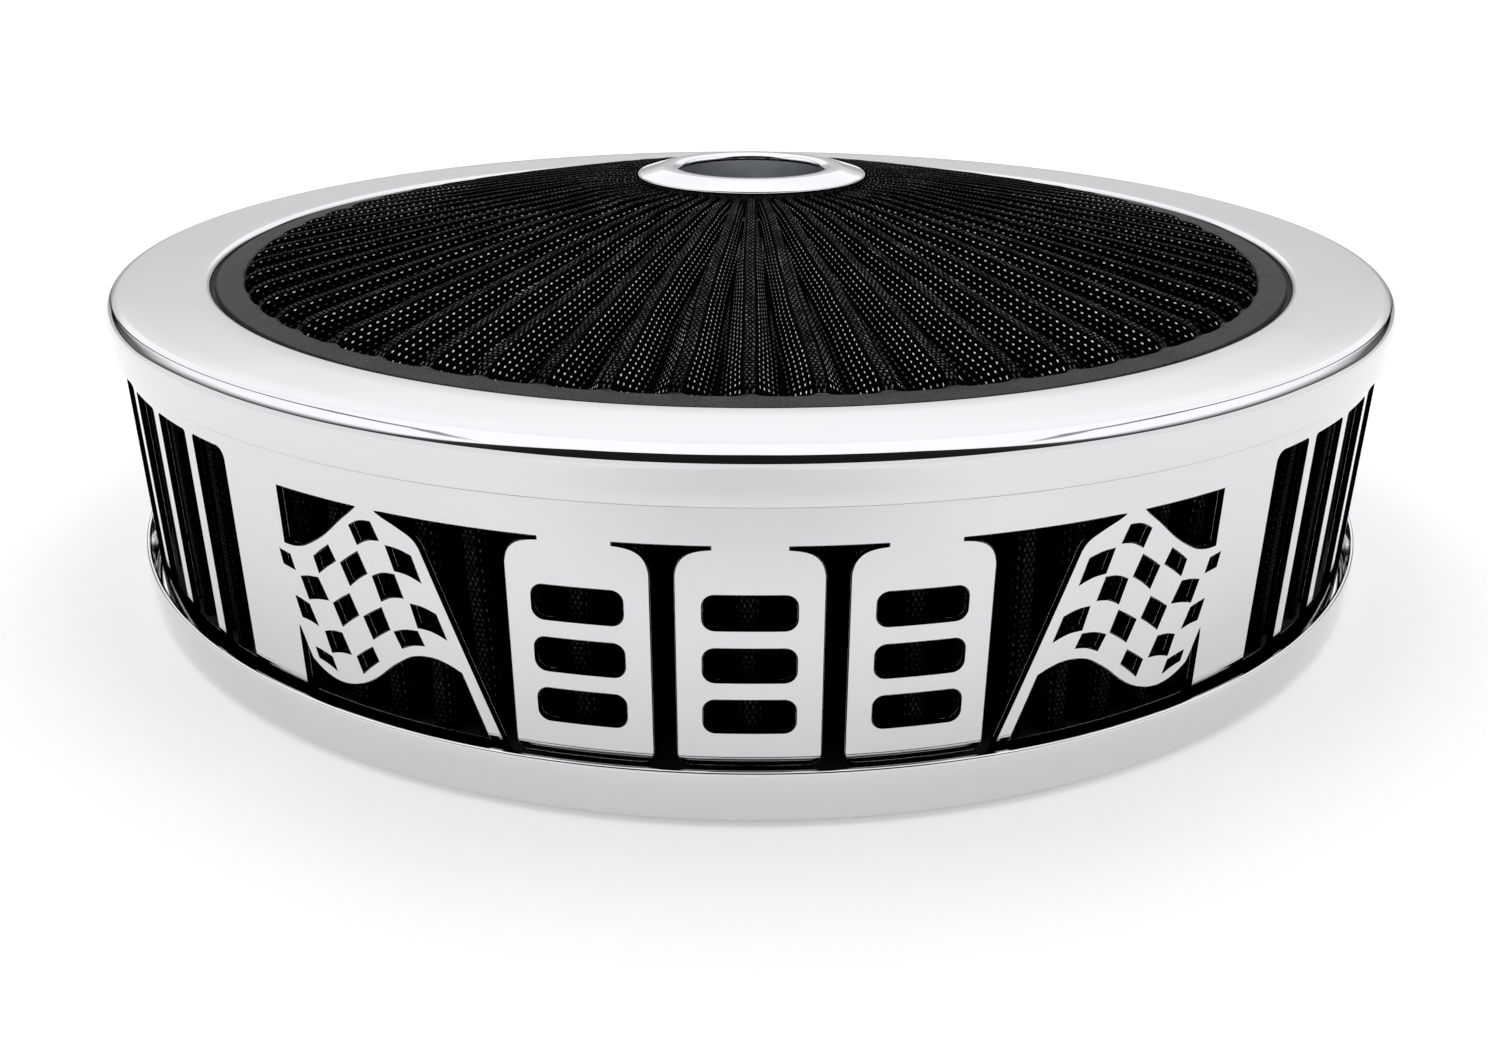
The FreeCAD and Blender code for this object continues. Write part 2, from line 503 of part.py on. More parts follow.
def wing(sg):
    def p(x, zz):
        return V(sg * x, -TW / 2, z + zz)

    pts = [(4.4, 2.2), (8.4, 3.4), (12.4, 6.2), (14.6, 10.0), (15.2, 13.2), (14.2, 15.0), (12.0, 15.1), (9.6, 12.4), (7.0, 9.4), (4.4, 8.8)]
    low = Part.BSplineCurve()
    low.interpolate([p(*q) for q in pts[:6]])
    up = Part.BSplineCurve()
    up.interpolate([p(*q) for q in pts[5:]])
    w = Part.Wire([low.toShape(), up.toShape(), Part.makeLine(p(*pts[-1]), p(*pts[0]))])
    s = Part.Face(w).extrude(V(0, TW, 0))
    if s.Volume < 0:
        s.reverse()
    return s


nut = body.fuse([wing(1), wing(-1)]).cut(Part.makeCylinder(R_NUT, 30, V(0, 0, z - 5)))
nut = nut.removeSplitter()
try:
    es = [ed for ed in nut.Edges if ed.Curve.TypeId == "Part::GeomBSplineCurve" and ed.BoundBox.XLength > 2.5 and abs(abs(ed.BoundBox.Center.y) - TW / 2) < 0.05]
    f = nut.makeFillet(0.6, es)
    if f.isValid() and f.Volume > 0.8 * nut.Volume:
        nut = f
except Exception as err:
    print("wing edges stay square:", err)
nut.rotate(V(0, 0, 0), V(0, 0, 1), 28)
save("wing_nut", nut)
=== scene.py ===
import math

import bpy
import numpy as np
from mathutils import Matrix, Vector
from mathutils.geometry import delaunay_2d_cdt


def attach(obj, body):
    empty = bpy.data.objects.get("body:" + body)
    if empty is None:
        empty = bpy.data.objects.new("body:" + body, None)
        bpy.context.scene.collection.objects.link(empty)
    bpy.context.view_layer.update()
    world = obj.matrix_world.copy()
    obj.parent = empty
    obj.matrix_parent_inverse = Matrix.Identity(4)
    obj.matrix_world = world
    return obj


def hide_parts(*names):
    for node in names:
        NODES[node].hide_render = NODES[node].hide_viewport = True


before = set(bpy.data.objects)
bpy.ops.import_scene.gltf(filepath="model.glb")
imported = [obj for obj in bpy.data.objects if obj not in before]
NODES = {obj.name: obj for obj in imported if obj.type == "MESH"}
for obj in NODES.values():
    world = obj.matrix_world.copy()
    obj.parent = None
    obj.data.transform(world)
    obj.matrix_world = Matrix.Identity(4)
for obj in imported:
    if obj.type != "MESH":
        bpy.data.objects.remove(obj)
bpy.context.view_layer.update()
scene = bpy.context.scene
RNG = np.random.default_rng(7)

# ---------------------------------------------------------------- driving sizes (mm), the same as the part's
Z_LID, R_LID, T_LID, Z_SKIRT, R_LID_HOLE, Z_ROLL = 82.0, 179.7, 1.2, 71.0, 153.45, 77.5
R_RING, T_RING, Z_RING0, Z_RING1 = 177.3, 1.5, 1.4, 78.0
R_BASE, T_BASE, Z_RIM, Z_SHELF, R_NECK, Z_NECK0 = 180.5, 1.4, 13.2, 26.0, 65.1, 15.0
N_SIDE, R_SIDE_IN, R_SIDE_OUT, Z_SP0, Z_SP1 = 96, 150.0, 173.2, 9.4, 68.8
N_TOP, R_TOP_IN, R_TOP_OUT, Z_CREST_IN, Z_CREST_OUT, D_TOP_OUT = 62, 32.1, 144.7, 100.6, 82.6, 5.5
R_HUB, Z_HUB, T_HUB, R_CUP, Z_CUP = 32.9, 104.1, 1.2, 22.4, 74.0


# ---------------------------------------------------------------- node helpers
class Nodes:
    def __init__(self, tree):
        self.t = tree
        self.n = tree.nodes
        self.l = tree.links

    def new(self, kind, **kw):
        nd = self.n.new(kind)
        for k, v in kw.items():
            setattr(nd, k, v)
        return nd

    def link(self, a, b):
        self.l.new(a, b)

    def put(self, sock, v):
        if isinstance(v, bpy.types.NodeSocket):
            self.l.new(v, sock)
        else:
            sock.default_value = v

    def math(self, op, a, b=None, c=None, clamp=False):
        nd = self.new("ShaderNodeMath", operation=op, use_clamp=clamp)
        for i, v in enumerate((a, b, c)):
            if v is not None:
                self.put(nd.inputs[i], v)
        return nd.outputs[0]

    def ramp01(self, v, lo, hi):
        """0 at lo, 1 at hi, smooth."""
        nd = self.new("ShaderNodeMapRange", interpolation_type="SMOOTHSTEP")
        self.put(nd.inputs[0], v)
        nd.inputs[1].default_value = lo
        nd.inputs[2].default_value = hi
        nd.inputs[3].default_value = 0.0
        nd.inputs[4].default_value = 1.0
        return nd.outputs[0]

    def lerp(self, f, a, b):
        nd = self.new("ShaderNodeMix", data_type="FLOAT")
        self.put(nd.inputs[0], f)
        self.put(nd.inputs[2], a)
        self.put(nd.inputs[3], b)
        return nd.outputs[0]

    def mix_rgb(self, f, a, b):
        nd = self.new("ShaderNodeMix", data_type="RGBA")
        self.put(nd.inputs[0], f)
        self.put(nd.inputs[6], a)
        self.put(nd.inputs[7], b)
        return nd.outputs[2]

    def noise(self, vec, scale, detail=3.0, rough=0.5):
        nd = self.new("ShaderNodeTexNoise")
        self.link(vec, nd.inputs["Vector"])
        nd.inputs["Scale"].default_value = scale
        nd.inputs["Detail"].default_value = detail
        nd.inputs["Roughness"].default_value = rough
        return nd.outputs[0]

    def bump(self, height, distance, strength=1.0, normal=None):
        nd = self.new("ShaderNodeBump")
        nd.inputs["Strength"].default_value = strength
        nd.inputs["Distance"].default_value = distance
        self.link(height, nd.inputs["Height"])
        if normal is not None:
            self.link(normal, nd.inputs["Normal"])
        return nd.outputs[0]


def material(name):
    m = bpy.data.materials.new(name)
    m.use_nodes = True
    m.node_tree.nodes.clear()
    g = Nodes(m.node_tree)
    out = g.new("ShaderNodeOutputMaterial")
    b = g.new("ShaderNodeBsdfPrincipled")
    g.link(b.outputs[0], out.inputs[0])
    tc = g.new("ShaderNodeTexCoord")
    return m, g, b, tc


def mat_chrome(name, grey=0.70, rough=0.035, wave=1.0):
    m, g, b, tc = material(name)
    obj = tc.outputs["Object"]
    big = g.noise(obj, 14.0, 2.0, 0.45)
    fine = g.noise(obj, 900.0, 2.0, 0.5)
    smudge = g.noise(obj, 46.0, 5.0, 0.62)
    sm = g.ramp01(smudge, 0.48, 0.74)
    lo = (grey, grey * 1.004, grey * 1.012, 1)
    hi = (grey * 0.985, grey * 0.99, grey * 1.0, 1)
    g.link(g.mix_rgb(sm, lo, hi), b.inputs["Base Color"])
    b.inputs["Metallic"].default_value = 1.0
    g.link(g.lerp(sm, rough, rough + 0.022), b.inputs["Roughness"])
    n1 = g.bump(big, 0.00022 * wave, 1.0)
    n2 = g.bump(fine, 0.0000012, 1.0, n1)
    g.link(n2, b.inputs["Normal"])
    return m


# ---------------------------------------------------------------- mesh helpers
def unit(a):
    n = math.hypot(a[0], a[1])
    return (a[0] / n, a[1] / n)


def offset_path(pts, d):
    out = []
    n = len(pts)
    for i in range(n):
        if i == 0 or i == n - 1:
            k = 0 if i == 0 else n - 2
            t = unit((pts[k + 1][0] - pts[k][0], pts[k + 1][1] - pts[k][1]))
            out.append((pts[i][0] - t[1] * d, pts[i][1] + t[0] * d))
        else:
            t0 = unit((pts[i][0] - pts[i - 1][0], pts[i][1] - pts[i - 1][1]))
            t1 = unit((pts[i + 1][0] - pts[i][0], pts[i + 1][1] - pts[i][1]))
            n0, n1 = (-t0[1], t0[0]), (-t1[1], t1[0])
            k = 1.0 + n0[0] * n1[0] + n0[1] * n1[1]
            out.append((pts[i][0] + d * (n0[0] + n1[0]) / k, pts[i][1] + d * (n0[1] + n1[1]) / k))
    return out


def fillet_points(pts, radii, step=9.0, run=6.0):
    """Polyline through the points with rounded corners; step = degrees per arc segment, run = longest straight segment."""
    out = [pts[0]]
    n = len(pts)

    def straight(a, b):
        d = math.hypot(b[0] - a[0], b[1] - a[1])
        k = max(1, int(math.ceil(d / run)))
        for j in range(1, k + 1):
            if d > 1e-7:
                out.append((a[0] + (b[0] - a[0]) * j / k, a[1] + (b[1] - a[1]) * j / k))

    for i in range(1, n - 1):
        r, p = radii[i], pts[i]
        if r <= 1e-6:
            straight(out[-1], p)
            continue
        a = unit((pts[i - 1][0] - p[0], pts[i - 1][1] - p[1]))
        b = unit((pts[i + 1][0] - p[0], pts[i + 1][1] - p[1]))
        half = math.acos(max(-1.0, min(1.0, a[0] * b[0] + a[1] * b[1]))) / 2.0
        t = r / math.tan(half)
        s = (p[0] + a[0] * t, p[1] + a[1] * t)
        e = (p[0] + b[0] * t, p[1] + b[1] * t)
        bis = unit((a[0] + b[0], a[1] + b[1]))
        c = (p[0] + bis[0] * r / math.sin(half), p[1] + bis[1] * r / math.sin(half))
        a0 = math.atan2(s[1] - c[1], s[0] - c[0])
        a1 = math.atan2(e[1] - c[1], e[0] - c[0])
        d = (a1 - a0 + math.pi) % (2 * math.pi) - math.pi
        straight(out[-1], s)
        k = max(2, int(math.ceil(abs(math.degrees(d)) / step)))
        for j in range(1, k + 1):
            w = a0 + d * j / k
            out.append((c[0] + r * math.cos(w), c[1] + r * math.sin(w)))
    straight(out[-1], pts[-1])
    return out


def ccw(loop):
    a = 0.0
    for (x0, y0), (x1, y1) in zip(loop, loop[1:] + loop[:1]):
        a += x0 * y1 - x1 * y0
    return loop if a > 0 else loop[::-1]


def clean(loop, tol=1e-5):
    out = []
    for p in loop:
        if not out or math.hypot(p[0] - out[-1][0], p[1] - out[-1][1]) > tol:
            out.append(p)
    while len(out) > 1 and math.hypot(out[0][0] - out[-1][0], out[0][1] - out[-1][1]) <= tol:
        out.pop()
    return out


def sheet_loop(pts, radii, t, round_start=False, round_end=False, step=9.0, run=6.0, edge=0.12):
    """Closed section of a stamped sheet whose mid line is pts."""
    left, right = offset_path(pts, t / 2), offset_path(pts, -t / 2)
    rl, rr = list(radii), list(radii)
    for i in range(1, len(pts) - 1):
        if radii[i] <= 0:
            continue
        ax, ay = pts[i][0] - pts[i - 1][0], pts[i][1] - pts[i - 1][1]
        bx, by = pts[i + 1][0] - pts[i][0], pts[i + 1][1] - pts[i][1]
        side = 1 if ax * by - ay * bx > 0 else -1
        rl[i] = max(0.05, radii[i] - side * t / 2)
        rr[i] = max(0.05, radii[i] + side * t / 2)
    lp, rp = fillet_points(left, rl, step, run), fillet_points(right, rr, step, run)

    def cap(a, b, tang, rounded):
        """Points between a and b round the sheet's end."""
        m = ((a[0] + b[0]) / 2, (a[1] + b[1]) / 2)
        if rounded:
            a0 = math.atan2(a[1] - m[1], a[0] - m[0])
            at = math.atan2(tang[1], tang[0])
            d = (at - a0 + math.pi) % (2 * math.pi) - math.pi
            return [(m[0] + t / 2 * math.cos(a0 + 2 * d * k / 10), m[1] + t / 2 * math.sin(a0 + 2 * d * k / 10)) for k in range(1, 10)]
        u = unit((b[0] - a[0], b[1] - a[1]))
        return [("trim", edge), (a[0] + u[0] * edge, a[1] + u[1] * edge), (b[0] - u[0] * edge, b[1] - u[1] * edge), ("trim", edge)]

    t0 = unit((pts[0][0] - pts[1][0], pts[0][1] - pts[1][1]))
    t1 = unit((pts[-1][0] - pts[-2][0], pts[-1][1] - pts[-2][1]))

    def pull(path, at_end, d):
        """Shorten a path's end by d."""
        q = path[::-1] if at_end else list(path)
        while len(q) > 2 and math.hypot(q[1][0] - q[0][0], q[1][1] - q[0][1]) < d * 1.5:
            q.pop(1)
        u = unit((q[1][0] - q[0][0], q[1][1] - q[0][1]))
        q[0] = (q[0][0] + u[0] * d, q[0][1] + u[1] * d)
        return q[::-1] if at_end else q

    c1 = cap(lp[-1], rp[-1], t1, round_end)
    c0 = cap(rp[0], lp[0], t0, round_start)
    if not round_end:
        lp, rp = pull(lp, True, edge), pull(rp, True, edge)
    if not round_start:
        lp, rp = pull(lp, False, edge), pull(rp, False, edge)
    c1 = [p for p in c1 if p[0] != "trim"]
    c0 = [p for p in c0 if p[0] != "trim"]
    return clean(ccw(clean(lp + c1 + rp[::-1] + c0)))


def ring_loop(pts, radii, step=12.0, run=6.0):
    """Closed section with rounded corners."""
    m = ((pts[-1][0] + pts[0][0]) / 2, (pts[-1][1] + pts[0][1]) / 2)
    return clean(ccw(clean(fillet_points([m] + list(pts) + [m], [0] + list(radii) + [0], step, run))))


def finish_mesh(name, verts, faces, mat, body, replaces=(), angle=35.0, scale=0.001, uv=None, normals=None):
    me = bpy.data.meshes.new(name)
    v = np.asarray(verts, float) * scale
    me.from_pydata(v.tolist(), [], faces if isinstance(faces, list) else faces.tolist())
    me.shade_smooth()
    if uv is not None:
        layer = me.uv_layers.new(name="weave")
        layer.data.foreach_set("uv", np.asarray(uv, np.float32).ravel())
    me.validate()
    if normals is not None:
        me.normals_split_custom_set(np.asarray(normals, float).tolist())
    elif angle is not None:
        me.set_sharp_from_angle(angle=math.radians(angle))
    me.update()
    ob = bpy.data.objects.new(name, me)
    scene.collection.objects.link(ob)
    if mat is not None:
        me.materials.append(mat)
    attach(ob, body)
    if replaces:
        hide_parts(*replaces)
    return ob


def lathe(name, loops, seg, mat, body, replaces=(), angle=35.0):
    """One or more closed (r, z) sections, counterclockwise, turned round Z."""
    V, F = [], []
    th = np.linspace(0, 2 * np.pi, seg, endpoint=False)
    c, s = np.cos(th), np.sin(th)
    for loop in loops:
        a = np.array(loop, float)
        n = len(a)
        base = sum(len(x) for x in V)
        V.append(np.stack([np.outer(a[:, 0], c), np.outer(a[:, 0], s), np.repeat(a[:, 1][:, None], seg, 1)], -1).reshape(-1, 3))
        i, j = np.meshgrid(np.arange(n), np.arange(seg), indexing="ij")
        i2, j2 = (i + 1) % n, (j + 1) % seg
        F.append(np.stack([i * seg + j, i * seg + j2, i2 * seg + j2, i2 * seg + j], -1).reshape(-1, 4) + base)
    return finish_mesh(name, np.concatenate(V), np.concatenate(F), mat, body, replaces, angle)


# ---------------------------------------------------------------- shroud ring outlines: (phi in degrees, z relative to the lid plane)
TOP, BOT, SUNK = -20.4, -69.2, -72.6
P_OUT, P_GAP = 15.7, 1.5
P_W = (2 * P_OUT - 2 * P_GAP) / 3.0
SH_A, SH_Z, FOOT = 2.3, 5.6, 2.6
MM = 180.0 / math.pi / R_RING            # degrees of ring per millimetre


def spline(pts, n=8):
    """Centripetal-like cubic through the points."""
    P = np.array([(p[0] / MM, p[1]) for p in pts], float)
    d = np.maximum(np.hypot(*np.diff(P, axis=0).T), 1e-9)
    t = np.concatenate([[0], np.cumsum(d)])
    m = len(P)
    A, B = np.zeros((m, m)), np.zeros((m, 2))
    A[0, 0], A[0, 1], B[0] = 2, 1, 3 * (P[1] - P[0]) / d[0]
    A[-1, -1], A[-1, -2], B[-1] = 2, 1, 3 * (P[-1] - P[-2]) / d[-1]
    for i in range(1, m - 1):
        A[i, i - 1], A[i, i], A[i, i + 1] = d[i], 2 * (d[i - 1] + d[i]), d[i - 1]
        B[i] = 3 * (d[i] * (P[i] - P[i - 1]) / d[i - 1] + d[i - 1] * (P[i + 1] - P[i]) / d[i])
    D = np.linalg.solve(A, B)
    out = []
    for i in range(m - 1):
        for k in range(n):
            s = k / n
            h = d[i]
            q = (2 * s**3 - 3 * s**2 + 1) * P[i] + (s**3 - 2 * s**2 + s) * h * D[i] + (-2 * s**3 + 3 * s**2) * P[i + 1] + (s**3 - s**2) * h * D[i + 1]
            out.append((q[0] * MM, q[1]))
    out.append(tuple(pts[-1]))
    return out


def path(*segs):
    out = []
    for kind, pts in segs:
        out += list(pts) if kind == "L" else spline(pts)
    return clean(out, 1e-4)


def mirror(loop):
    return [(-a, z) for a, z in loop]


def shoulder(edge, sgn):
    return [(edge, TOP - 0.5 - SH_Z), (edge + sgn * 0.10 * SH_A, TOP - 0.5 - 0.55 * SH_Z), (edge + sgn * 0.33 * SH_A, TOP - 0.5 - 0.22 * SH_Z),
            (edge + sgn * 0.65 * SH_A, TOP - 0.5 - 0.06 * SH_Z), (edge + sgn * SH_A, TOP - 0.5)]


def arc(c, r, a0, a1, n=7):
    """Arc round c (degrees of ring, mm) with radius r mm, from angle a0 to a1 in degrees."""
    return [(c[0] + r * MM * math.cos(math.radians(a0 + (a1 - a0) * k / n)), c[1] + r * math.sin(math.radians(a0 + (a1 - a0) * k / n)))
            for k in range(n + 1)]


def rect(p0, p1, z0, z1, radii):
    ll, lr, ur, ul = radii
    out = arc((p0 + ll * MM, z0 + ll), ll, 180, 270) + arc((p1 - lr * MM, z0 + lr), lr, 270, 360)
    out += arc((p1 - ur * MM, z1 - ur), ur, 0, 90) + arc((p0 + ul * MM, z1 - ul), ul, 90, 180)
    return clean(out, 1e-4)


def ring_holes():
    H = []
    above = path(("L", [(-26.7, TOP), (-33.85, TOP)]),
                 ("S", [(-33.85, -33.3), (-33.2, -33.35), (-32.6, -33.1), (-31.9, -32.5), (-31.2, -31.4), (-30.3, -29.7), (-29.4, -27.6),
                        (-28.6, -25.4), (-27.9, -23.5), (-27.25, -21.9), (-26.7, TOP)]))
    below = path(("L", [(-33.6, BOT), (-17.65, BOT)]),
                 ("S", [(-19.45, -53.8), (-20.1, -52.8), (-20.9, -51.9), (-21.6, -51.6), (-22.5, -51.8), (-23.4, -52.65), (-24.2, -54.2),
                        (-25.0, -56.0), (-25.8, -58.2), (-26.6, -60.2), (-27.6, -62.1), (-28.5, -63.2), (-29.5, -63.8), (-30.5, -63.6),
                        (-31.4, -62.7), (-32.2, -61.3), (-32.6, -60.4)]),
                 ("S", [(-32.6, -60.4), (-32.9, -58.4), (-33.2, -56.0), (-33.6, -53.0)]))
    for a in (above, below):
        H += [a, mirror(a)]
    # the middle field: from the left pole, round the three hanging plates, to the right pole
    mid = path(("S", [(-21.75, -26.8), (-22.1, -25.2), (-22.5, -24.2), (-22.95, -23.45), (-23.8, -22.2), (-24.6, -21.1), (-25.0, TOP)]))
    for k in (-1, 0, 1):
        c = k * (P_W + P_GAP)
        l, r = c - P_W / 2, c + P_W / 2
        mid += [(l + SH_A, TOP), (l + SH_A, TOP - 0.5)]
        mid += spline(list(reversed(shoulder(l, 1))))
        mid += arc((l + FOOT * MM, BOT + FOOT), FOOT, 180, 270)
        mid += arc((r - FOOT * MM, BOT + FOOT), FOOT, 270, 360)
        mid += spline(shoulder(r, -1))
        mid += [(r - SH_A, TOP)]
    tail = path(("S", [(-21.75, -26.8), (-22.1, -25.2), (-22.5, -24.2), (-22.95, -23.45), (-23.8, -22.2), (-24.6, -21.1), (-25.0, TOP)]))
    mid += list(reversed(mirror(tail)))
    mid += [(16.55, BOT), (16.1, SUNK), (-16.1, SUNK), (-16.55, BOT)]
    H.append(clean(mid, 1e-4))
    for k in (-1, 0, 1):
        c = k * (P_W + P_GAP)
        for zc in (-34.4, -46.0, -57.6):
            H.append(rect(c - P_W / 2 + 1.75, c + P_W / 2 - 1.75, zc - 3.75, zc + 3.75, (2.4, 2.4, 2.4, 2.4)))
    checks = [
        ((-27.3, -24.9), (-25.5, -23.1), (-25.0, -26.7), (-26.8, -28.7), 0.6, 0.5),
        ((-24.4, -27.7), (-22.5, -28.8), (-21.95, -34.2), (-23.9, -32.8), 0.3, 0.4),
        ((-31.0, -34.5), (-29.5, -30.9), (-29.0, -34.0), (-30.7, -37.9), 0.1, 0.1),
        ((-28.5, -34.2), (-26.9, -30.6), (-26.3, -35.0), (-27.9, -38.8), 0.1, 0.2),
        ((-25.8, -35.4), (-24.0, -33.9), (-23.5, -38.7), (-25.3, -40.6), 0.5, 0.5),
        ((-22.9, -39.9), (-21.0, -41.1), (-20.4, -46.3), (-22.5, -44.9), 0.4, 0.5),
        ((-34.5, -35.5), (-33.5, -36.0), (-33.2, -39.2), (-34.3, -38.7), 0.0, 0.0),
        ((-32.6, -40.5), (-30.9, -39.5), (-30.2, -44.0), (-32.1, -45.3), 0.2, 0.2),
        ((-29.7, -44.5), (-28.1, -41.1), (-27.5, -45.5), (-29.1, -49.3), 0.1, 0.1),
        ((-27.0, -45.6), (-25.4, -42.4), (-24.9, -47.0), (-26.4, -50.3), 0.1, 0.1),
        ((-24.5, -47.4), (-22.6, -46.0), (-22.2, -48.9), (-24.0, -50.7), 0.4, 0.4),
        ((-33.5, -45.9), (-32.2, -46.8), (-31.6, -51.2), (-33.1, -50.5), 0.1, 0.2),
        ((-30.9, -52.3), (-29.3, -51.3), (-28.7, -55.8), (-30.5, -56.9), 0.3, 0.3),
        ((-28.1, -56.0), (-26.6, -52.6), (-26.2, -55.5), (-27.7, -59.6), 0.1, 0.1),
        ((-32.1, -57.2), (-30.6, -58.2), (-30.3, -61.1), (-31.9, -59.5), 0.1, 0.2),
    ]
    for ul, ur, lr, ll, up, lo in checks:
        mu = ((ul[0] + ur[0]) / 2, (ul[1] + ur[1]) / 2 + up)
        ml = ((ll[0] + lr[0]) / 2, (ll[1] + lr[1]) / 2 + lo)
        q = path(("S", [ul, mu, ur]), ("S", [lr, ml, ll]))
        H += [q, mirror(q)]
    s0, s1 = -68.9, -16.4
    for sg in (-1, 1):
        H.append(rect(39.75, 44.0, s0, s1, (0.8, 0.8, 0.8, 2.6)) if sg > 0 else rect(-44.0, -39.75, s0, s1, (0.8, 0.8, 2.6, 0.8)))
        for j in range(20):
            a = 45.3 + 6.2 * j
            b = a + 4.9
            H.append(rect(a, b, s0, s1, (0.8,) * 4) if sg > 0 else rect(-b, -a, s0, s1, (0.8,) * 4))
    return H


def inside(P, loop):
    """Which of the points P lie in the closed loop (even-odd)."""
    x, y = P[:, 0], P[:, 1]
    res = np.zeros(len(P), bool)
    L = np.array(loop)
    box = (x > L[:, 0].min()) & (x < L[:, 0].max()) & (y > L[:, 1].min()) & (y < L[:, 1].max())
    idx = np.nonzero(box)[0]
    if len(idx) == 0:
        return res
    px, py = x[idx][:, None], y[idx][:, None]
    x0, y0 = L[:, 0][None], L[:, 1][None]
    x1, y1 = np.roll(L[:, 0], -1)[None], np.roll(L[:, 1], -1)[None]
    cross = (y0 > py) != (y1 > py)
    with np.errstate(divide="ignore", invalid="ignore"):
        xi = x0 + (py - y0) * (x1 - x0) / (y1 - y0)
    res[idx] = (np.sum(cross & (px < xi), axis=1) % 2) == 1
    return res


def shroud_ring(name, mat):
    W = 180.0 / MM                       # half the developed length, mm
    z0, z1 = Z_RING0 - Z_LID, Z_RING1 - Z_LID
    b, T = 0.22, T_RING
    loops = []
    for h in ring_holes():
        q = [(a / MM, z) for a, z in h]
        q = ccw(q)
        dense = []
        for p, r in zip(q, q[1:] + q[:1]):
            d = math.hypot(r[0] - p[0], r[1] - p[1])
            k = max(1, int(math.ceil(d / 2.2)))
            for j in range(k):
                dense.append((p[0] + (r[0] - p[0]) * j / k, p[1] + (r[1] - p[1]) * j / k))
        loops.append(np.array(clean(dense, 0.02)))
    # edge normals: a hole's loop runs counterclockwise, so its material lies to the right of the way round
    info = []
    for q in loops:
        e = np.roll(q, -1, 0) - q
        e /= np.linalg.norm(e, axis=1)[:, None]
        m = np.stack([-e[:, 1], e[:, 0]], -1)         # to the left: into the hole
        mp = np.roll(m, 1, 0)                          # edge before the vertex
        dot = np.sum(m * mp, 1)
        mit = (m + mp) / np.maximum(1 + dot, 0.35)[:, None]
        info.append((q, m, mp, dot, mit))
    # flat points: loops pulled back from the holes by the edge radius
    verts2, edges2 = [], []
    for q, m, mp, dot, mit in info:
        o = q - b * mit
        s = len(verts2)
        verts2 += o.tolist()
        edges2 += [(s + i, s + (i + 1) % len(o)) for i in range(len(o))]
    nb = 288
    xs = np.linspace(-W, W, nb + 1)
    s = len(verts2)
    top = [(x, z1 - b) for x in xs]
    bot = [(x, z0 + b) for x in xs]
    ys = np.linspace(z0 + b, z1 - b, 26)[1:-1]
    lef, rig = [(-W, y) for y in ys], [(W, y) for y in ys]
    verts2 += top + bot + lef + rig
    n1 = nb + 1
    edges2 += [(s + i, s + i + 1) for i in range(nb)] + [(s + n1 + i, s + n1 + i + 1) for i in range(nb)]
    L0, R0 = s + 2 * n1, s + 2 * n1 + len(ys)
    chain_l = [s + n1] + [L0 + i for i in range(len(ys))] + [s]
    chain_r = [s + n1 + nb] + [R0 + i for i in range(len(ys))] + [s + nb]
    edges2 += list(zip(chain_l[:-1], chain_l[1:])) + list(zip(chain_r[:-1], chain_r[1:]))
    # points inside the sheet so that it can bend round
    gx, gy = np.meshgrid(xs[1:-1], np.linspace(z0 + b, z1 - b, 26)[1:-1])
    G = np.stack([gx.ravel(), gy.ravel()], -1)
    allp = np.concatenate([i[0] for i in info])
    keep = np.ones(len(G), bool)
    for q in loops:
        keep &= ~inside(G, q)
    near = np.zeros(len(G), bool)
    order = np.argsort(allp[:, 0])
    ax = allp[order]
    for i in range(len(G)):
        if not keep[i]:
            continue
        lo, hi = np.searchsorted(ax[:, 0], [G[i, 0] - 1.1, G[i, 0] + 1.1])
        if lo < hi and np.min((ax[lo:hi, 0] - G[i, 0]) ** 2 + (ax[lo:hi, 1] - G[i, 1]) ** 2) < 1.1 ** 2:
            near[i] = True
    verts2 += G[keep & ~near].tolist()
    V2, _, F2, ov, _, _ = delaunay_2d_cdt([Vector(v) for v in verts2], edges2, [], 0, 1e-5, True)
    V2 = np.array([tuple(v) for v in V2])
    F2 = np.array([tuple(f) for f in F2])
    cen = V2[F2].mean(1)
    solid = np.ones(len(F2), bool)
    for q, m, mp, dot, mit in info:
        solid &= ~inside(cen, q - b * mit)
    F2 = F2[solid]
    # map from input points to output points
    where = {}
    for k, o in enumerate(ov):
        for i in o:
            where[i] = k
    nv = len(V2)

    def wrap(p, r):
        a = p[:, 0] * MM * math.pi / 180.0
        return np.stack([r * np.sin(a), -r * np.cos(a), p[:, 1] + Z_LID], -1)

    verts = [wrap(V2, R_RING), wrap(V2, R_RING - T)]
    faces, norms = [], []
    ang = V2[:, 0] * MM * math.pi / 180.0
    rad = np.stack([np.sin(ang), -np.cos(ang), 0 * ang], -1)
    a2 = (V2[F2[:, 1]] - V2[F2[:, 0]])
    b2 = (V2[F2[:, 2]] - V2[F2[:, 0]])
    flip = (a2[:, 0] * b2[:, 1] - a2[:, 1] * b2[:, 0]) < 0
    F2[flip] = F2[flip][:, ::-1]
    faces += F2.tolist()
    norms.append(rad[F2].reshape(-1, 3))
    Fb = F2[:, ::-1] + nv
    faces += Fb.tolist()
    norms.append(-rad[F2[:, ::-1]].reshape(-1, 3))
    base = 2 * nv
    lev = ((0.293, 0.293), (0.0, 1.0))            # (offset, depth) in units of b

    def frame_at(p):
        a = p[:, 0] * MM * math.pi / 180.0
        return np.stack([np.sin(a), -np.cos(a), 0 * a], -1), np.stack([np.cos(a), np.sin(a), 0 * a], -1)

    k45 = math.sqrt(0.5)

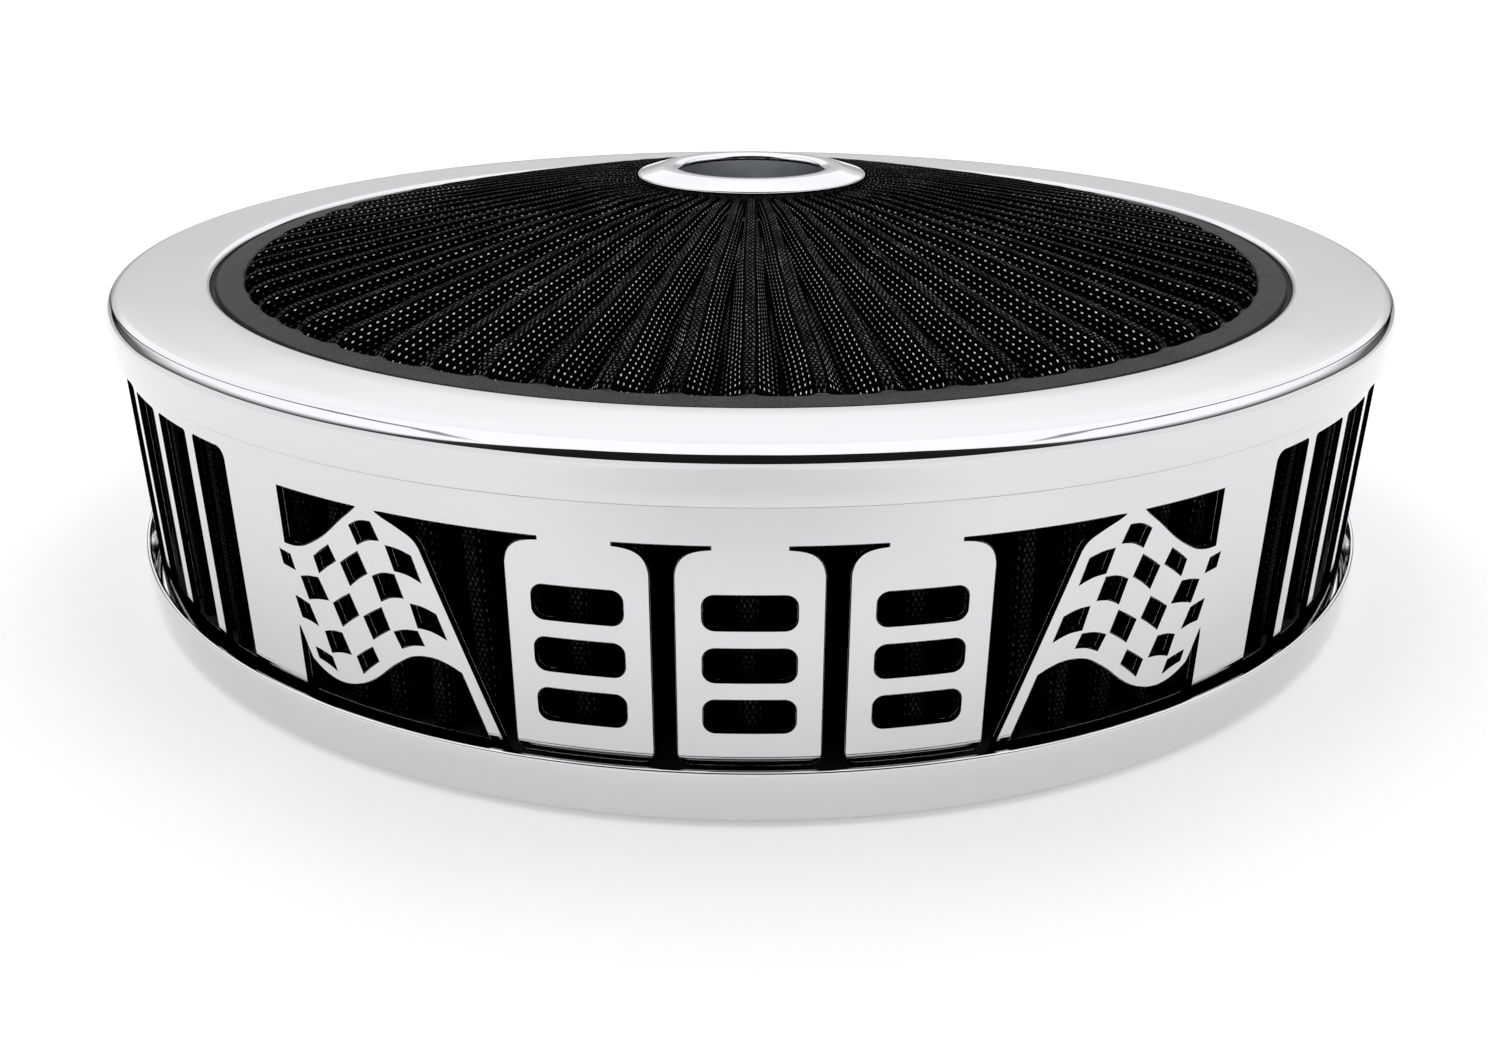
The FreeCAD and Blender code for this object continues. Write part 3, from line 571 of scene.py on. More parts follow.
    def edge_strip(q, m, mp, dot, mit, front_ids, closed=True):
        """Walls and rounded edges along a loop; front_ids are the flat points' numbers."""
        nonlocal base
        n = len(q)
        ids = [np.array(front_ids)]
        for off, dep in lev:
            verts.append(wrap(q - b * off * mit, R_RING - b * dep))
            ids.append(base + np.arange(n))
            base += n
        for off, dep in reversed(lev):
            verts.append(wrap(q - b * off * mit, R_RING - T + b * dep))
            ids.append(base + np.arange(n))
            base += n
        ids.append(np.array(front_ids) + nv)
        er, et = frame_at(q)
        soft = dot > 0.77
        here = np.where(soft[:, None], (m + mp) / np.maximum(np.linalg.norm(m + mp, axis=1), 1e-9)[:, None], m)        # start of its own edge
        there = np.where(soft[:, None], (m + mp) / np.maximum(np.linalg.norm(m + mp, axis=1), 1e-9)[:, None], mp)      # end of the edge before
        w_here = et * here[:, :1] + np.array([0, 0, 1.0]) * here[:, 1:]
        w_there = et * there[:, :1] + np.array([0, 0, 1.0]) * there[:, 1:]
        mixes = [(1.0, 0.0), (k45, k45), (0.0, 1.0), (0.0, 1.0), (-k45, k45), (-1.0, 0.0)]
        rng = range(n) if closed else range(n - 1)
        for L in range(5):
            A, B = ids[L], ids[L + 1]
            fa, fb = mixes[L], mixes[L + 1]
            for i in rng:
                j = (i + 1) % n
                faces.append([int(A[i]), int(B[i]), int(B[j]), int(A[j])])
            i = np.arange(n if closed else n - 1)
            j = (i + 1) % n
            nn = np.stack([fa[0] * er[i] + fa[1] * w_here[i], fb[0] * er[i] + fb[1] * w_here[i],
                           fb[0] * er[j] + fb[1] * w_there[j], fa[0] * er[j] + fa[1] * w_there[j]], 1)
            norms.append(nn.reshape(-1, 3))

    pos = 0
    for q, m, mp, dot, mit in info:
        edge_strip(q, m, mp, dot, mit, [where[pos + i] for i in range(len(q))])
        pos += len(q)
    one = np.ones(nb + 1)
    for row, zz, sg in ((s, z1, 1), (s + n1, z0, -1)):
        order = range(nb + 1) if sg < 0 else range(nb, -1, -1)
        q = np.array([(xs[i], zz) for i in order])
        m = np.stack([0 * one, sg * one], -1)
        edge_strip(q, m, m, one, m, [where[row + i] for i in order], closed=False)
    V = np.concatenate(verts)
    N = np.concatenate(norms)
    ob = finish_mesh(name, V, faces, mat, "cleaner", ("shroud_ring",), normals=N)
    return ob


# ---------------------------------------------------------------- woven wire cloth over gauze
def mat_weave(name, pitch=1.5, pitch_v=1.1, wire=0.21, crimp=0.17, dot=0.98, crest_glint=0.12, wire_col=0.0007, cloth_col=0.0002, crest=(0.8, 1.2), valley_shade_span=(3.6, 6.0)):
    """Black coated wires, plain woven; the tops of their crimps are painted bright as highlights (glints), dimmed by
    painted shade down the flanks.
    """
    m, g, b, tc = material(name)
    uv = g.new("ShaderNodeUVMap", uv_map="weave")
    sep = g.new("ShaderNodeSeparateXYZ")
    g.link(uv.outputs[0], sep.inputs[0])
    obj = tc.outputs["Object"]
    wob = g.math("MULTIPLY", g.math("SUBTRACT", g.noise(obj, 60.0, 2.0), 0.5), 0.9)
    s = g.math("DIVIDE", g.math("ADD", sep.outputs[0], wob), pitch)
    t = g.math("DIVIDE", sep.outputs[1], pitch_v)
    fs, ft = g.math("FLOOR", s), g.math("FLOOR", t)
    ds = g.math("MULTIPLY", g.math("SUBTRACT", g.math("SUBTRACT", s, fs), 0.5), pitch)
    dt = g.math("MULTIPLY", g.math("SUBTRACT", g.math("SUBTRACT", t, ft), 0.5), pitch_v)
    si = g.math("SUBTRACT", 1.0, g.math("MULTIPLY", g.math("FLOORED_MODULO", fs, 2.0), 2.0))
    ti = g.math("SUBTRACT", g.math("MULTIPLY", g.math("FLOORED_MODULO", ft, 2.0), 2.0), 1.0)

    def wire_at(d, along, sign, lo, hi):
        """Height of a wire's top, whether it is there, and how near its crimp's top it is."""
        c = g.math("MULTIPLY", g.math("COSINE", g.math("MULTIPLY", g.math("SUBTRACT", along, 0.5), math.pi)), sign)
        q = g.math("SUBTRACT", wire * wire, g.math("MULTIPLY", d, d))
        prof = g.math("SQRT", g.math("MAXIMUM", q, 0.0))
        on = g.math("GREATER_THAN", q, 0.0)
        h = g.math("ADD", g.math("MULTIPLY", g.math("ADD", g.math("ADD", g.math("MULTIPLY", c, crimp), prof), 0.4), on), -0.4)
        side = g.math("SUBTRACT", 1.0, g.ramp01(g.math("ABSOLUTE", d), wire * 0.4, wire * 0.9))
        return h, on, g.math("MULTIPLY", g.ramp01(c, lo, hi), side)

    hw, onw, top_w = wire_at(ds, t, si, 0.45, 0.8)
    hf, onf, top_f = wire_at(dt, s, ti, 0.2, 0.8)
    fuzz = g.noise(obj, 2600.0, 3.0, 0.6)
    H = g.math("MAXIMUM", g.math("MAXIMUM", hw, hf), g.math("ADD", g.math("MULTIPLY", fuzz, 0.10), -0.36))
    on = g.math("MAXIMUM", onw, onf)
    au = g.math("ABSOLUTE", sep.outputs[0])
    near = g.math("SUBTRACT", 1.0, g.ramp01(au, crest[0], crest[1]))
    place = g.new("ShaderNodeSeparateXYZ")
    g.link(obj, place.inputs[0])
    rad = g.math("SQRT", g.math("ADD", g.math("MULTIPLY", place.outputs[0], place.outputs[0]), g.math("MULTIPLY", place.outputs[1], place.outputs[1])))
    # Painted shade: the painted glints dim with distance from the crest, down the flanks into the valleys, sooner at
    # the ring's sides than at its front and back.
    ends = g.ramp01(g.math("DIVIDE", g.math("ABSOLUTE", place.outputs[1]), rad), 0.4, 0.95)
    reach = g.lerp(ends, 1.9, 0.68)
    painted_valley_shade = g.math("SUBTRACT", 1.0, g.math("MULTIPLY", g.ramp01(g.math("MULTIPLY", au, reach), valley_shade_span[0], valley_shade_span[1]), 0.92))
    tint = g.noise(obj, 420.0, 3.0, 0.6)
    patch = g.noise(obj, 70.0, 2.0, 0.5)
    vary = g.math("MULTIPLY", g.math("ADD", g.math("MULTIPLY", g.ramp01(tint, 0.33, 0.62), 1.1), 0.25), g.lerp(g.ramp01(patch, 0.34, 0.6), 0.6, 1.25))
    # Painted highlights: the lattice below paints a pattern of glints on the crests, and the tops of the wires' crimps
    # are coloured bright as glints on the flanks, stronger at the ring's front and back; the weft crimp tops get
    # fainter painted glints.
    lat = g.math("MULTIPLY", g.math("COSINE", g.math("MULTIPLY", g.math("ADD", sep.outputs[0], wob), 2 * math.pi / 1.15)),
                 g.math("COSINE", g.math("MULTIPLY", sep.outputs[1], 2 * math.pi / 2.3)))
    painted_glints = g.math("ADD", g.math("MULTIPLY", g.math("MULTIPLY", top_w, g.lerp(ends, 0.5, 1.7)), g.lerp(near, dot, 0.0)), g.math("MULTIPLY", g.ramp01(lat, 0.35, 0.9), g.lerp(near, 0.0, crest_glint)))
    painted_glints = g.math("ADD", painted_glints, g.math("MULTIPLY", top_f, g.lerp(near, dot * 0.004, crest_glint * 0.15)))
    # The wires' black is painted lighter on the crests than on the flanks, a painted shade of the flanks.
    col = g.math("ADD", g.math("MULTIPLY", g.math("MINIMUM", g.math("MULTIPLY", painted_glints, vary), 0.98), painted_valley_shade), g.lerp(on, cloth_col, g.lerp(near, wire_col * 0.5, wire_col * 2.4)))
    cb = g.new("ShaderNodeCombineColor")
    g.link(col, cb.inputs[0])
    g.link(g.math("MULTIPLY", col, 1.01), cb.inputs[1])
    g.link(g.math("MULTIPLY", col, 1.05), cb.inputs[2])
    g.link(cb.outputs[0], b.inputs["Base Color"])
    g.link(g.lerp(on, 0.95, 0.45), b.inputs["Roughness"])
    b.inputs["Specular IOR Level"].default_value = 0.005
    g.link(g.bump(H, 0.001, 0.6), b.inputs["Normal"])
    return m


def mat_urethane(name, grey=0.055, grain=1.0, spec=0.12):
    m, g, b, tc = material(name)
    obj = tc.outputs["Object"]
    n1 = g.noise(obj, 1300.0, 3.0, 0.6)
    n2 = g.noise(obj, 90.0, 4.0, 0.6)
    f = g.math("ADD", g.math("MULTIPLY", n1, 0.75), g.math("MULTIPLY", n2, 0.25))
    g.link(g.mix_rgb(g.ramp01(f, 0.36, 0.64), (grey * 0.52, grey * 0.53, grey * 0.55, 1), (grey * 1.5, grey * 1.51, grey * 1.55, 1)), b.inputs["Base Color"])
    g.link(g.lerp(n1, 0.5, 0.72), b.inputs["Roughness"])
    b.inputs["Specular IOR Level"].default_value = spec
    g.link(g.bump(n1, 0.00012 * grain, 0.9, g.bump(n2, 0.0003, 0.5)), b.inputs["Normal"])
    return m


def mat_metal(name, col, rough, scale=220.0, aniso_lines=0.0, bump=0.00002):
    m, g, b, tc = material(name)
    obj = tc.outputs["Object"]
    n = g.noise(obj, scale, 4.0, 0.6)
    c0 = tuple(x * 0.86 for x in col) + (1,)
    c1 = tuple(min(1, x * 1.08) for x in col) + (1,)
    g.link(g.mix_rgb(n, c0, c1), b.inputs["Base Color"])
    b.inputs["Metallic"].default_value = 1.0
    g.link(g.lerp(n, rough * 0.85, rough * 1.25), b.inputs["Roughness"])
    h = n
    if aniso_lines:
        sp = g.new("ShaderNodeSeparateXYZ")
        g.link(obj, sp.inputs[0])
        r = g.math("SQRT", g.math("ADD", g.math("MULTIPLY", sp.outputs[0], sp.outputs[0]), g.math("MULTIPLY", sp.outputs[1], sp.outputs[1])))
        cb = g.new("ShaderNodeCombineXYZ")
        g.link(g.math("MULTIPLY", r, aniso_lines), cb.inputs[0])
        g.link(g.math("MULTIPLY", sp.outputs[2], aniso_lines), cb.inputs[2])
        h = g.math("ADD", g.noise(cb.outputs[0], 1.0, 3.0), g.math("MULTIPLY", n, 0.4))
    g.link(g.bump(h, bump, 1.0), b.inputs["Normal"])
    return m


M_CHROME = mat_chrome("chrome_sheet", 0.66, 0.03, 0.6)
M_CHROME_BASE = mat_chrome("chrome_pan", 0.67, 0.045, 1.0)
M_CHROME_RING = mat_chrome("chrome_strip", 0.65, 0.05, 0.8)
M_CHROME_HUB = mat_chrome("chrome_hub", 0.68, 0.04, 0.3)
M_CUP = mat_metal("satin_cup", (0.52, 0.54, 0.57), 0.34, 180.0, 900.0, 0.00002)
M_WEAVE = mat_weave("wire_cloth")
# The side cloth gets the same painted glints, much fainter, and its painted flank shade starts closer to the crest.
M_WEAVE_SIDE = mat_weave("wire_cloth_side", pitch_v=1.1, dot=0.03, crest_glint=0.03, wire_col=0.001, cloth_col=0.0004, crest=(0.9, 1.7), valley_shade_span=(1.6, 3.4))
M_URE = mat_urethane("urethane", 0.034)
M_ZINC = mat_metal("zinc", (0.66, 0.67, 0.68), 0.28, 400.0)
M_RUB = mat_urethane("rubber", 0.02, 0.6)


# ---------------------------------------------------------------- stamped and moulded rings
h = T_LID / 2
lid = lathe("lid_ring_chrome", [sheet_loop([(R_LID - h, Z_SKIRT), (R_LID - h, Z_LID - h), (R_LID_HOLE + h, Z_LID - h - 0.52), (R_LID_HOLE + h, Z_ROLL)],
                                           [0, 3.6, 0.95, 0], T_LID, round_start=True, step=5.0)], 512, M_CHROME, "cleaner", ("lid_ring",))
h = T_BASE / 2
base = lathe("base_pan_chrome", [sheet_loop(
    [(R_BASE - h, Z_RIM - h), (R_BASE - h, h), (141.0, h), (131.0, Z_SHELF), (113.0, Z_SHELF), (109.0, Z_SHELF + 3.4),
     (82.0, Z_SHELF + 3.4), (76.5, Z_SHELF), (R_NECK + h, Z_SHELF), (R_NECK + h, Z_NECK0)],
    [0, 2.2, 5.0, 4.5, 2.5, 2.5, 2.5, 2.5, 2.4, 0], T_BASE, round_start=True, step=12.0, run=9.0)], 512, M_CHROME_BASE, "cleaner", ("base_pan",))
h = T_HUB / 2
hub = lathe("hub_cap_chrome", [sheet_loop([(R_HUB, 101.65), (26.6, Z_HUB - h), (22.35, Z_HUB - h), (22.0, 102.45)],
                                          [0, 6.0, 1.4, 0], T_HUB, round_start=True, step=5.0, run=2.5)], 320, M_CHROME_HUB, "cleaner", ("hub_cap",))
cup = lathe("nut_cup_satin", [sheet_loop([(R_CUP + 0.5, 102.0), (R_CUP + 0.5, Z_CUP - 0.5), (3.7, Z_CUP - 0.5)], [0, 2.5, 0], 1.0, step=8.0)],
            224, M_CUP, "cleaner", ("nut_cup",))
ring = shroud_ring("shroud_ring_chrome", M_CHROME_RING)


# ---------------------------------------------------------------- pleats
SLOPE = (Z_CREST_IN - Z_CREST_OUT) / (R_TOP_OUT - R_TOP_IN)
Z_APEX = Z_CREST_IN + SLOPE * R_TOP_IN
SV = SLOPE + D_TOP_OUT / R_TOP_OUT
# where the crests near the front stand, degrees from the front
FRONT = [-52.8, -47.6, -41.2, -34.6, -29.0, -23.3, -17.6, -12.0, -6.05, -0.05, 5.75, 11.4, 17.1, 23.0, 28.9, 34.6, 40.7, 46.8, 52.1]


def crest_angles():
    out = list(FRONT)
    n = N_TOP - len(out)
    gap = (360.0 - (out[-1] - out[0])) / (n + 1)
    a = out[-1]
    for k in range(n):
        a += gap
        out.append(a + RNG.uniform(-0.35, 0.35))
    return np.array(out)


CREST = crest_angles()


def half_profile(wc, P2, D, crown):
    """Half a pleat's section from crest to valley in mm: wc half crest width, P2 half pitch, D depth."""
    rc = min(0.95, 0.5 * wc)
    wv = min(0.9, 0.3 * (P2 - wc))
    x0, y0 = wc + 0.12 * rc, -rc * 1.05 - crown
    x1, y1 = P2 - wv, -D + 0.35 * min(1.0, D / 8)
    pts = [(0, 0), (0.5 * wc, -0.25 * crown), (wc - rc * 0.95, -crown), (wc - rc * 0.28, -crown - 0.28 * rc), (x0, y0)]
    pts += [(x0 + (x1 - x0) * k, y0 + (y1 - y0) * k) for k in (0.22, 0.55)]
    pts += [(x1, y1), (P2, -D)]
    return np.array(pts)


# how far the crests stand above the straight line from hub to frame
BULGE_R = (32.1, 36.0, 41.0, 48.0, 75.0, 104.0, 122.0, 134.0, 140.5, 143.2, 144.7)
BULGE_Z = (0.0, 0.35, 1.05, 1.75, 1.9, 1.35, 0.95, 0.5, 0.2, -0.5, -1.5)


def top_pack(name, mat, rows_up=72, rows_dn=22, thick=2.05):
    ks = np.arange(N_TOP)
    nxt = np.roll(CREST, -1).copy()
    nxt[-1] += 360.0
    prv = np.roll(CREST, 1).copy()
    prv[0] -= 360.0
    ph = RNG.uniform(0, 2 * np.pi, (N_TOP, 4))
    am = RNG.uniform(0.05, 0.22, (N_TOP, 4))
    kink_r = RNG.uniform(45, 135, N_TOP)
    kink_a = RNG.uniform(-0.1, 0.1, N_TOP) * (RNG.random(N_TOP) < 0.5)

    def meander(k, r):
        w = np.clip((r - R_TOP_IN) / 25.0, 0, 1) * np.clip((R_TOP_OUT + 4 - r) / 18.0, 0.25, 1)
        v = am[k, 0] * math.sin(r / 31.0 + ph[k, 0]) + am[k, 1] * math.sin(r / 17.0 + ph[k, 1]) + 0.4 * am[k, 2] * math.sin(r / 8.0 + ph[k, 2])
        v += kink_a[k] * math.tanh((r - kink_r[k]) / 5.0)
        return w * v

    def sheet(rows, drop):
        V, UV = [], []
        for r in rows:
            ac = np.radians(0.93 + (1.42 - 0.93) * (R_TOP_OUT - r) / (R_TOP_OUT - R_TOP_IN))
            bulge = float(np.interp(r, BULGE_R, BULGE_Z))
            zc = Z_APEX - SLOPE * r - 0.05 - drop + bulge
            D = float(np.interp(r, (R_TOP_IN, 46.0, 90.0, R_TOP_OUT), (3.4, 5.2, 5.6, 5.6)))
            row, urow = [], []
            for k in range(N_TOP):
                m = meander(k, r)
                lo = (CREST[k] + prv[k]) / 2 + (m + meander((k - 1) % N_TOP, r)) / 2
                hi = (CREST[k] + nxt[k]) / 2 + (m + meander((k + 1) % N_TOP, r)) / 2
                c = CREST[k] + m
                for side, edge in ((-1, lo), (1, hi)):
                    P2 = math.radians(abs(edge - c)) * r
                    hp = half_profile(ac * r, P2, D, 0.06 * ac * r)
                    arc_len = np.concatenate([[0], np.cumsum(np.hypot(*np.diff(hp, axis=0).T))])
                    a = np.radians(c) + side * hp[:, 0] / r
                    pts = np.stack([r * np.sin(a), -r * np.cos(a), zc + hp[:, 1]], -1)
                    uu = side * arc_len
                    if side < 0:
                        row += pts[:0:-1].tolist()       # valley .. next to the crest
                        urow += uu[:0:-1].tolist()
                    else:
                        row += pts[:-1].tolist()         # crest .. before the valley
                        urow += uu[:-1].tolist() + [uu[-1]]
                # the valley's point belongs to the next pleat; its u is kept for this pleat's last face
            V.append(row)
            UV.append(urow)
        return np.array(V), np.array(UV)

    up_r = np.linspace(R_TOP_IN, R_TOP_OUT, rows_up)
    dn_r = np.linspace(R_TOP_IN, R_TOP_OUT, rows_dn)
    Vu, Uu = sheet(up_r, 0.0)
    Vd, Ud = sheet(dn_r, thick)
    n = Vu.shape[1]
    per = n // N_TOP
    pu = Uu.shape[1] // N_TOP
    verts = np.concatenate([Vu.reshape(-1, 3), Vd.reshape(-1, 3)])
    faces, uvs = [], []

    def grid(off, rows, U, flip):
        slope = math.hypot(1, SLOPE)
        for i in range(len(rows) - 1):
            for k in range(N_TOP):
                for j in range(per):
                    a = k * per + j
                    a2 = (a + 1) % n
                    ua, ub = U[i][k * pu + j], U[i][k * pu + j + 1]
                    uc, ud = U[i + 1][k * pu + j + 1], U[i + 1][k * pu + j]
                    v0, v1 = rows[i] * slope, rows[i + 1] * slope
                    f = [off + i * n + a, off + i * n + a2, off + (i + 1) * n + a2, off + (i + 1) * n + a]
                    q = [(ua, v0), (ub, v0), (uc, v1), (ud, v1)]
                    if flip:
                        f, q = f[::-1], q[::-1]
                    faces.append(f)
                    uvs.extend(q)

    grid(0, up_r, Uu, True)
    grid(len(up_r) * n, dn_r, Ud, False)
    off = len(up_r) * n
    for a in range(n):
        a2 = (a + 1) % n
        faces.append([a, a2, off + a2, off + a])
        uvs.extend([(0, 0)] * 4)
        o1, o2 = (len(up_r) - 1) * n, off + (len(dn_r) - 1) * n
        faces.append([o1 + a2, o1 + a, o2 + a, o2 + a2])
        uvs.extend([(0, 0)] * 4)
    return finish_mesh(name, verts, faces, mat, "cleaner", ("top_wire_upper", "top_pleats", "top_wire_lower"), 60.0, uv=uvs)


top = top_pack("top_filter_pleats", M_WEAVE)


def side_pack(name, mat, rows_o=14, thick=2.0):
    ph = RNG.uniform(0, 2 * np.pi, (N_SIDE, 2))
    n_half = 0
    V, UV, rows = [], [], []
    zs = np.linspace(Z_SP0, Z_SP1, rows_o)
    verts, uvs, faces = [], [], []
    P2 = math.pi / N_SIDE * R_SIDE_OUT

    def ring_at(z, inset):
        row, urow = [], []
        w = math.sin(math.pi * (z - Z_SP0) / (Z_SP1 - Z_SP0))
        for k in range(N_SIDE):
            c = 360.0 / N_SIDE * k + 0.25 * w * math.sin(ph[k, 0] + z / 16.0)
            cn = 360.0 / N_SIDE * (k + 1) + 0.25 * w * math.sin(ph[(k + 1) % N_SIDE, 0] + z / 16.0)
            cp = 360.0 / N_SIDE * (k - 1) + 0.25 * w * math.sin(ph[(k - 1) % N_SIDE, 0] + z / 16.0)
            for side, e in ((-1, (c + cp) / 2), (1, (c + cn) / 2)):
                p2 = math.radians(abs(e - c)) * R_SIDE_OUT
                hp = half_profile(2.2, p2, R_SIDE_OUT - R_SIDE_IN - 2.2, 0.12)
                al = np.concatenate([[0], np.cumsum(np.hypot(*np.diff(hp, axis=0).T))])
                a = np.radians(c) + side * hp[:, 0] / R_SIDE_OUT
                r = R_SIDE_OUT - 0.05 - inset + hp[:, 1]
                pts = np.stack([r * np.cos(a), r * np.sin(a), 0 * r + z], -1)
                uu = side * al
                if side < 0:
                    row += pts[:0:-1].tolist()
                    urow += uu[:0:-1].tolist()
                else:
                    row += pts[:-1].tolist()
                    urow += uu[:-1].tolist() + [uu[-1]]
        return row, urow

    outer = [ring_at(z, 0.0) for z in zs]
    zi = np.linspace(Z_SP0, Z_SP1, 4)
    inner = [ring_at(z, thick) for z in zi]
    n = len(outer[0][0])
    per, pu = n // N_SIDE, len(outer[0][1]) // N_SIDE
    for r, _ in outer + inner:
        verts += r

    def grid(off, zz, data, flip):
        for i in range(len(zz) - 1):
            for k in range(N_SIDE):
                for j in range(per):
                    a = k * per + j
                    a2 = (a + 1) % n
                    f = [off + i * n + a, off + i * n + a2, off + (i + 1) * n + a2, off + (i + 1) * n + a]
                    q = [(data[i][1][k * pu + j], zz[i]), (data[i][1][k * pu + j + 1], zz[i]),
                         (data[i + 1][1][k * pu + j + 1], zz[i + 1]), (data[i + 1][1][k * pu + j], zz[i + 1])]
                    if flip:
                        f, q = f[::-1], q[::-1]
                    faces.append(f)
                    uvs.extend(q)

    grid(0, zs, outer, False)
    off = len(zs) * n
    grid(off, zi, inner, True)
    for a in range(n):
        a2 = (a + 1) % n
        faces.append([a2, a, off + a, off + a2])
        o1, o2 = (len(zs) - 1) * n, off + (len(zi) - 1) * n
        faces.append([o1 + a, o1 + a2, o2 + a2, o2 + a])
        uvs.extend([(0, 0)] * 8)
    return finish_mesh(name, verts, faces, mat, "cleaner", ("side_wire_outer", "side_pleats", "side_wire_inner"), 60.0, uv=uvs)


side = side_pack("side_filter_pleats", M_WEAVE_SIDE)


def scalloped_frame(name, mat):
    """The top filter's moulded ring: its inner edge is drawn in a little round every pleat."""
    pts = [(R_TOP_OUT + 0.1, 81.0), (R_TOP_OUT + 0.1, 70.5), (147.2, 69.8), (148.2, 73.6), (159.4, 73.6), (159.4, 80.2),
           (157.4, 80.15), (155.6, 79.2), (155.6, Z_ROLL), (R_LID_HOLE, Z_ROLL), (R_LID_HOLE, 78.9), (152.5, 79.0), (152.05, 80.72)]
    loop = np.array(ring_loop(pts, [0.8, 0.8, 1.0, 1.0, 1.0, 0.6, 0.2, 0.3, 0, 0, 0, 0.2, 0.25], run=1.6))
    seg = N_TOP * 15
    th = np.linspace(0, 360, seg, endpoint=False)
    near = np.min(np.abs((th[:, None] - CREST[None] + 180) % 360 - 180), axis=1)      # degrees from the next crest
    pull = np.exp(-(near / 1.05) ** 4)
    # only the inner upper part of the section moves
    w = np.clip((148.5 - loop[:, 0]) / 3.0, 0, 1) * np.clip((loop[:, 1] - 78.0) / 2.5, 0, 1)
    w = w * w
    irr = np.interp(th, np.linspace(0, 360, 125), RNG.uniform(-0.1, 0.1, 125))
    r = loop[:, 0][:, None] - w[:, None] * (0.32 * pull - 0.2 + irr)[None]
    z = loop[:, 1][:, None] - w[:, None] * (0.12 * (1 - pull))[None]
    a = np.radians(th)
    V = np.stack([r * np.sin(a), -r * np.cos(a), z], -1).reshape(-1, 3)
    n = len(loop)
    i, j = np.meshgrid(np.arange(n), np.arange(seg), indexing="ij")
    i2, j2 = (i + 1) % n, (j + 1) % seg
    F = np.stack([i * seg + j, i * seg + j2, i2 * seg + j2, i2 * seg + j], -1).reshape(-1, 4)
    return finish_mesh(name, V, F, mat, "cleaner", ("top_filter_frame",), 40.0)


tframe = scalloped_frame("top_filter_moulding", M_URE)


def threaded_stud(name, mat):
    """1/4-20 stud with threads at both ends and a slimmer plain shank."""
    rM, rm, rs, p = 3.175, 2.5, 2.775, 1.27
    za, zb, zc, zd = 36.0, 50.0, 66.0, 90.0
    zz = np.concatenate([np.arange(za, zb, p / 10), np.linspace(zb, zc, 12), np.arange(zc + p / 10, zd, p / 10), [zd]])
    seg = 40
    th = np.linspace(0, 2 * np.pi, seg, endpoint=False)
    rows = []
    for z in zz:
        if zb <= z <= zc:
            r = np.full(seg, rs)
            if z == zb or z == zc:
                r = np.full(seg, rs)
        else:
            f = (z / p - th / (2 * np.pi)) % 1.0
            tri = 1 - np.abs(2 * f - 1)
            r = rm + (rM - rm) * np.clip(tri * 1.35 - 0.12, 0, 1)
        end = min(z - za, zd - z)
        r = np.minimum(r, rM - 0.7 + max(0.0, end))
        rows.append(np.stack([r * np.cos(th), r * np.sin(th), np.full(seg, z)], -1))
    V = np.concatenate(rows + [np.array([[0, 0, za], [0, 0, zd]])])
    F = []
    n = len(rows)
    for i in range(n - 1):
        for j in range(seg):
            F.append([i * seg + j, i * seg + (j + 1) % seg, (i + 1) * seg + (j + 1) % seg, (i + 1) * seg + j])
    for j in range(seg):
        F.append([n * seg, (j + 1) % seg, j])
        F.append([n * seg + 1, (n - 1) * seg + j, (n - 1) * seg + (j + 1) % seg])
    return finish_mesh(name, V, F, mat, "cleaner", ("centre_stud",), 50.0)


stud = threaded_stud("centre_stud_threads", M_ZINC)

for node, mat in (("neck_gasket", M_RUB), ("side_seal_bottom", M_URE), ("side_seal_top", M_URE), ("hub_core", M_URE), ("hub_backing_plate", M_ZINC),
                  ("seal_washer", M_RUB), ("nut_washer", M_ZINC), ("wing_nut", M_CHROME_HUB)):
    me = NODES[node].data
    me.materials.clear()
    me.materials.append(mat)

# ---------------------------------------------------------------- floor, light, camera
me = bpy.data.meshes.new("floor")
S = 30.0
me.from_pydata([(-S, -S, -0.0003), (S, -S, -0.0003), (S, S, -0.0003), (-S, S, -0.0003)], [], [(0, 1, 2, 3)])
floor = bpy.data.objects.new("floor", me)
scene.collection.objects.link(floor)
m, g, b, tc = material("floor_paper")
g.link(g.mix_rgb(g.noise(tc.outputs["Object"], 40.0, 3.0), (0.90, 0.90, 0.90, 1), (0.915, 0.915, 0.915, 1)), b.inputs["Base Color"])
b.inputs["Roughness"].default_value = 0.9
b.inputs["Specular IOR Level"].default_value = 0.1
b.inputs["Emission Color"].default_value = (1.0, 1.0, 1.0, 1)
sx = g.new("ShaderNodeSeparateXYZ")
g.link(tc.outputs["Object"], sx.inputs[0])
# The floor glows a little so that it stays evenly white; ahead of the object, outside the camera's view, the glow drops
# to a painted shadow patch that the chrome skirt reflects, and off to the sides it glows a tenth less.
far = g.ramp01(g.math("MULTIPLY", sx.outputs[1], -1.0), 0.25, 0.36)
far = g.math("MULTIPLY", far, g.math("SUBTRACT", 1.0, g.ramp01(g.math("ABSOLUTE", sx.outputs[0]), 0.02, 0.22)))
wide = g.ramp01(g.math("ABSOLUTE", sx.outputs[0]), 0.13, 0.22)
g.link(g.math("MULTIPLY", g.lerp(far, 0.27, 0.05), g.lerp(wide, 1.0, 0.9)), b.inputs["Emission Strength"])
me.materials.append(m)

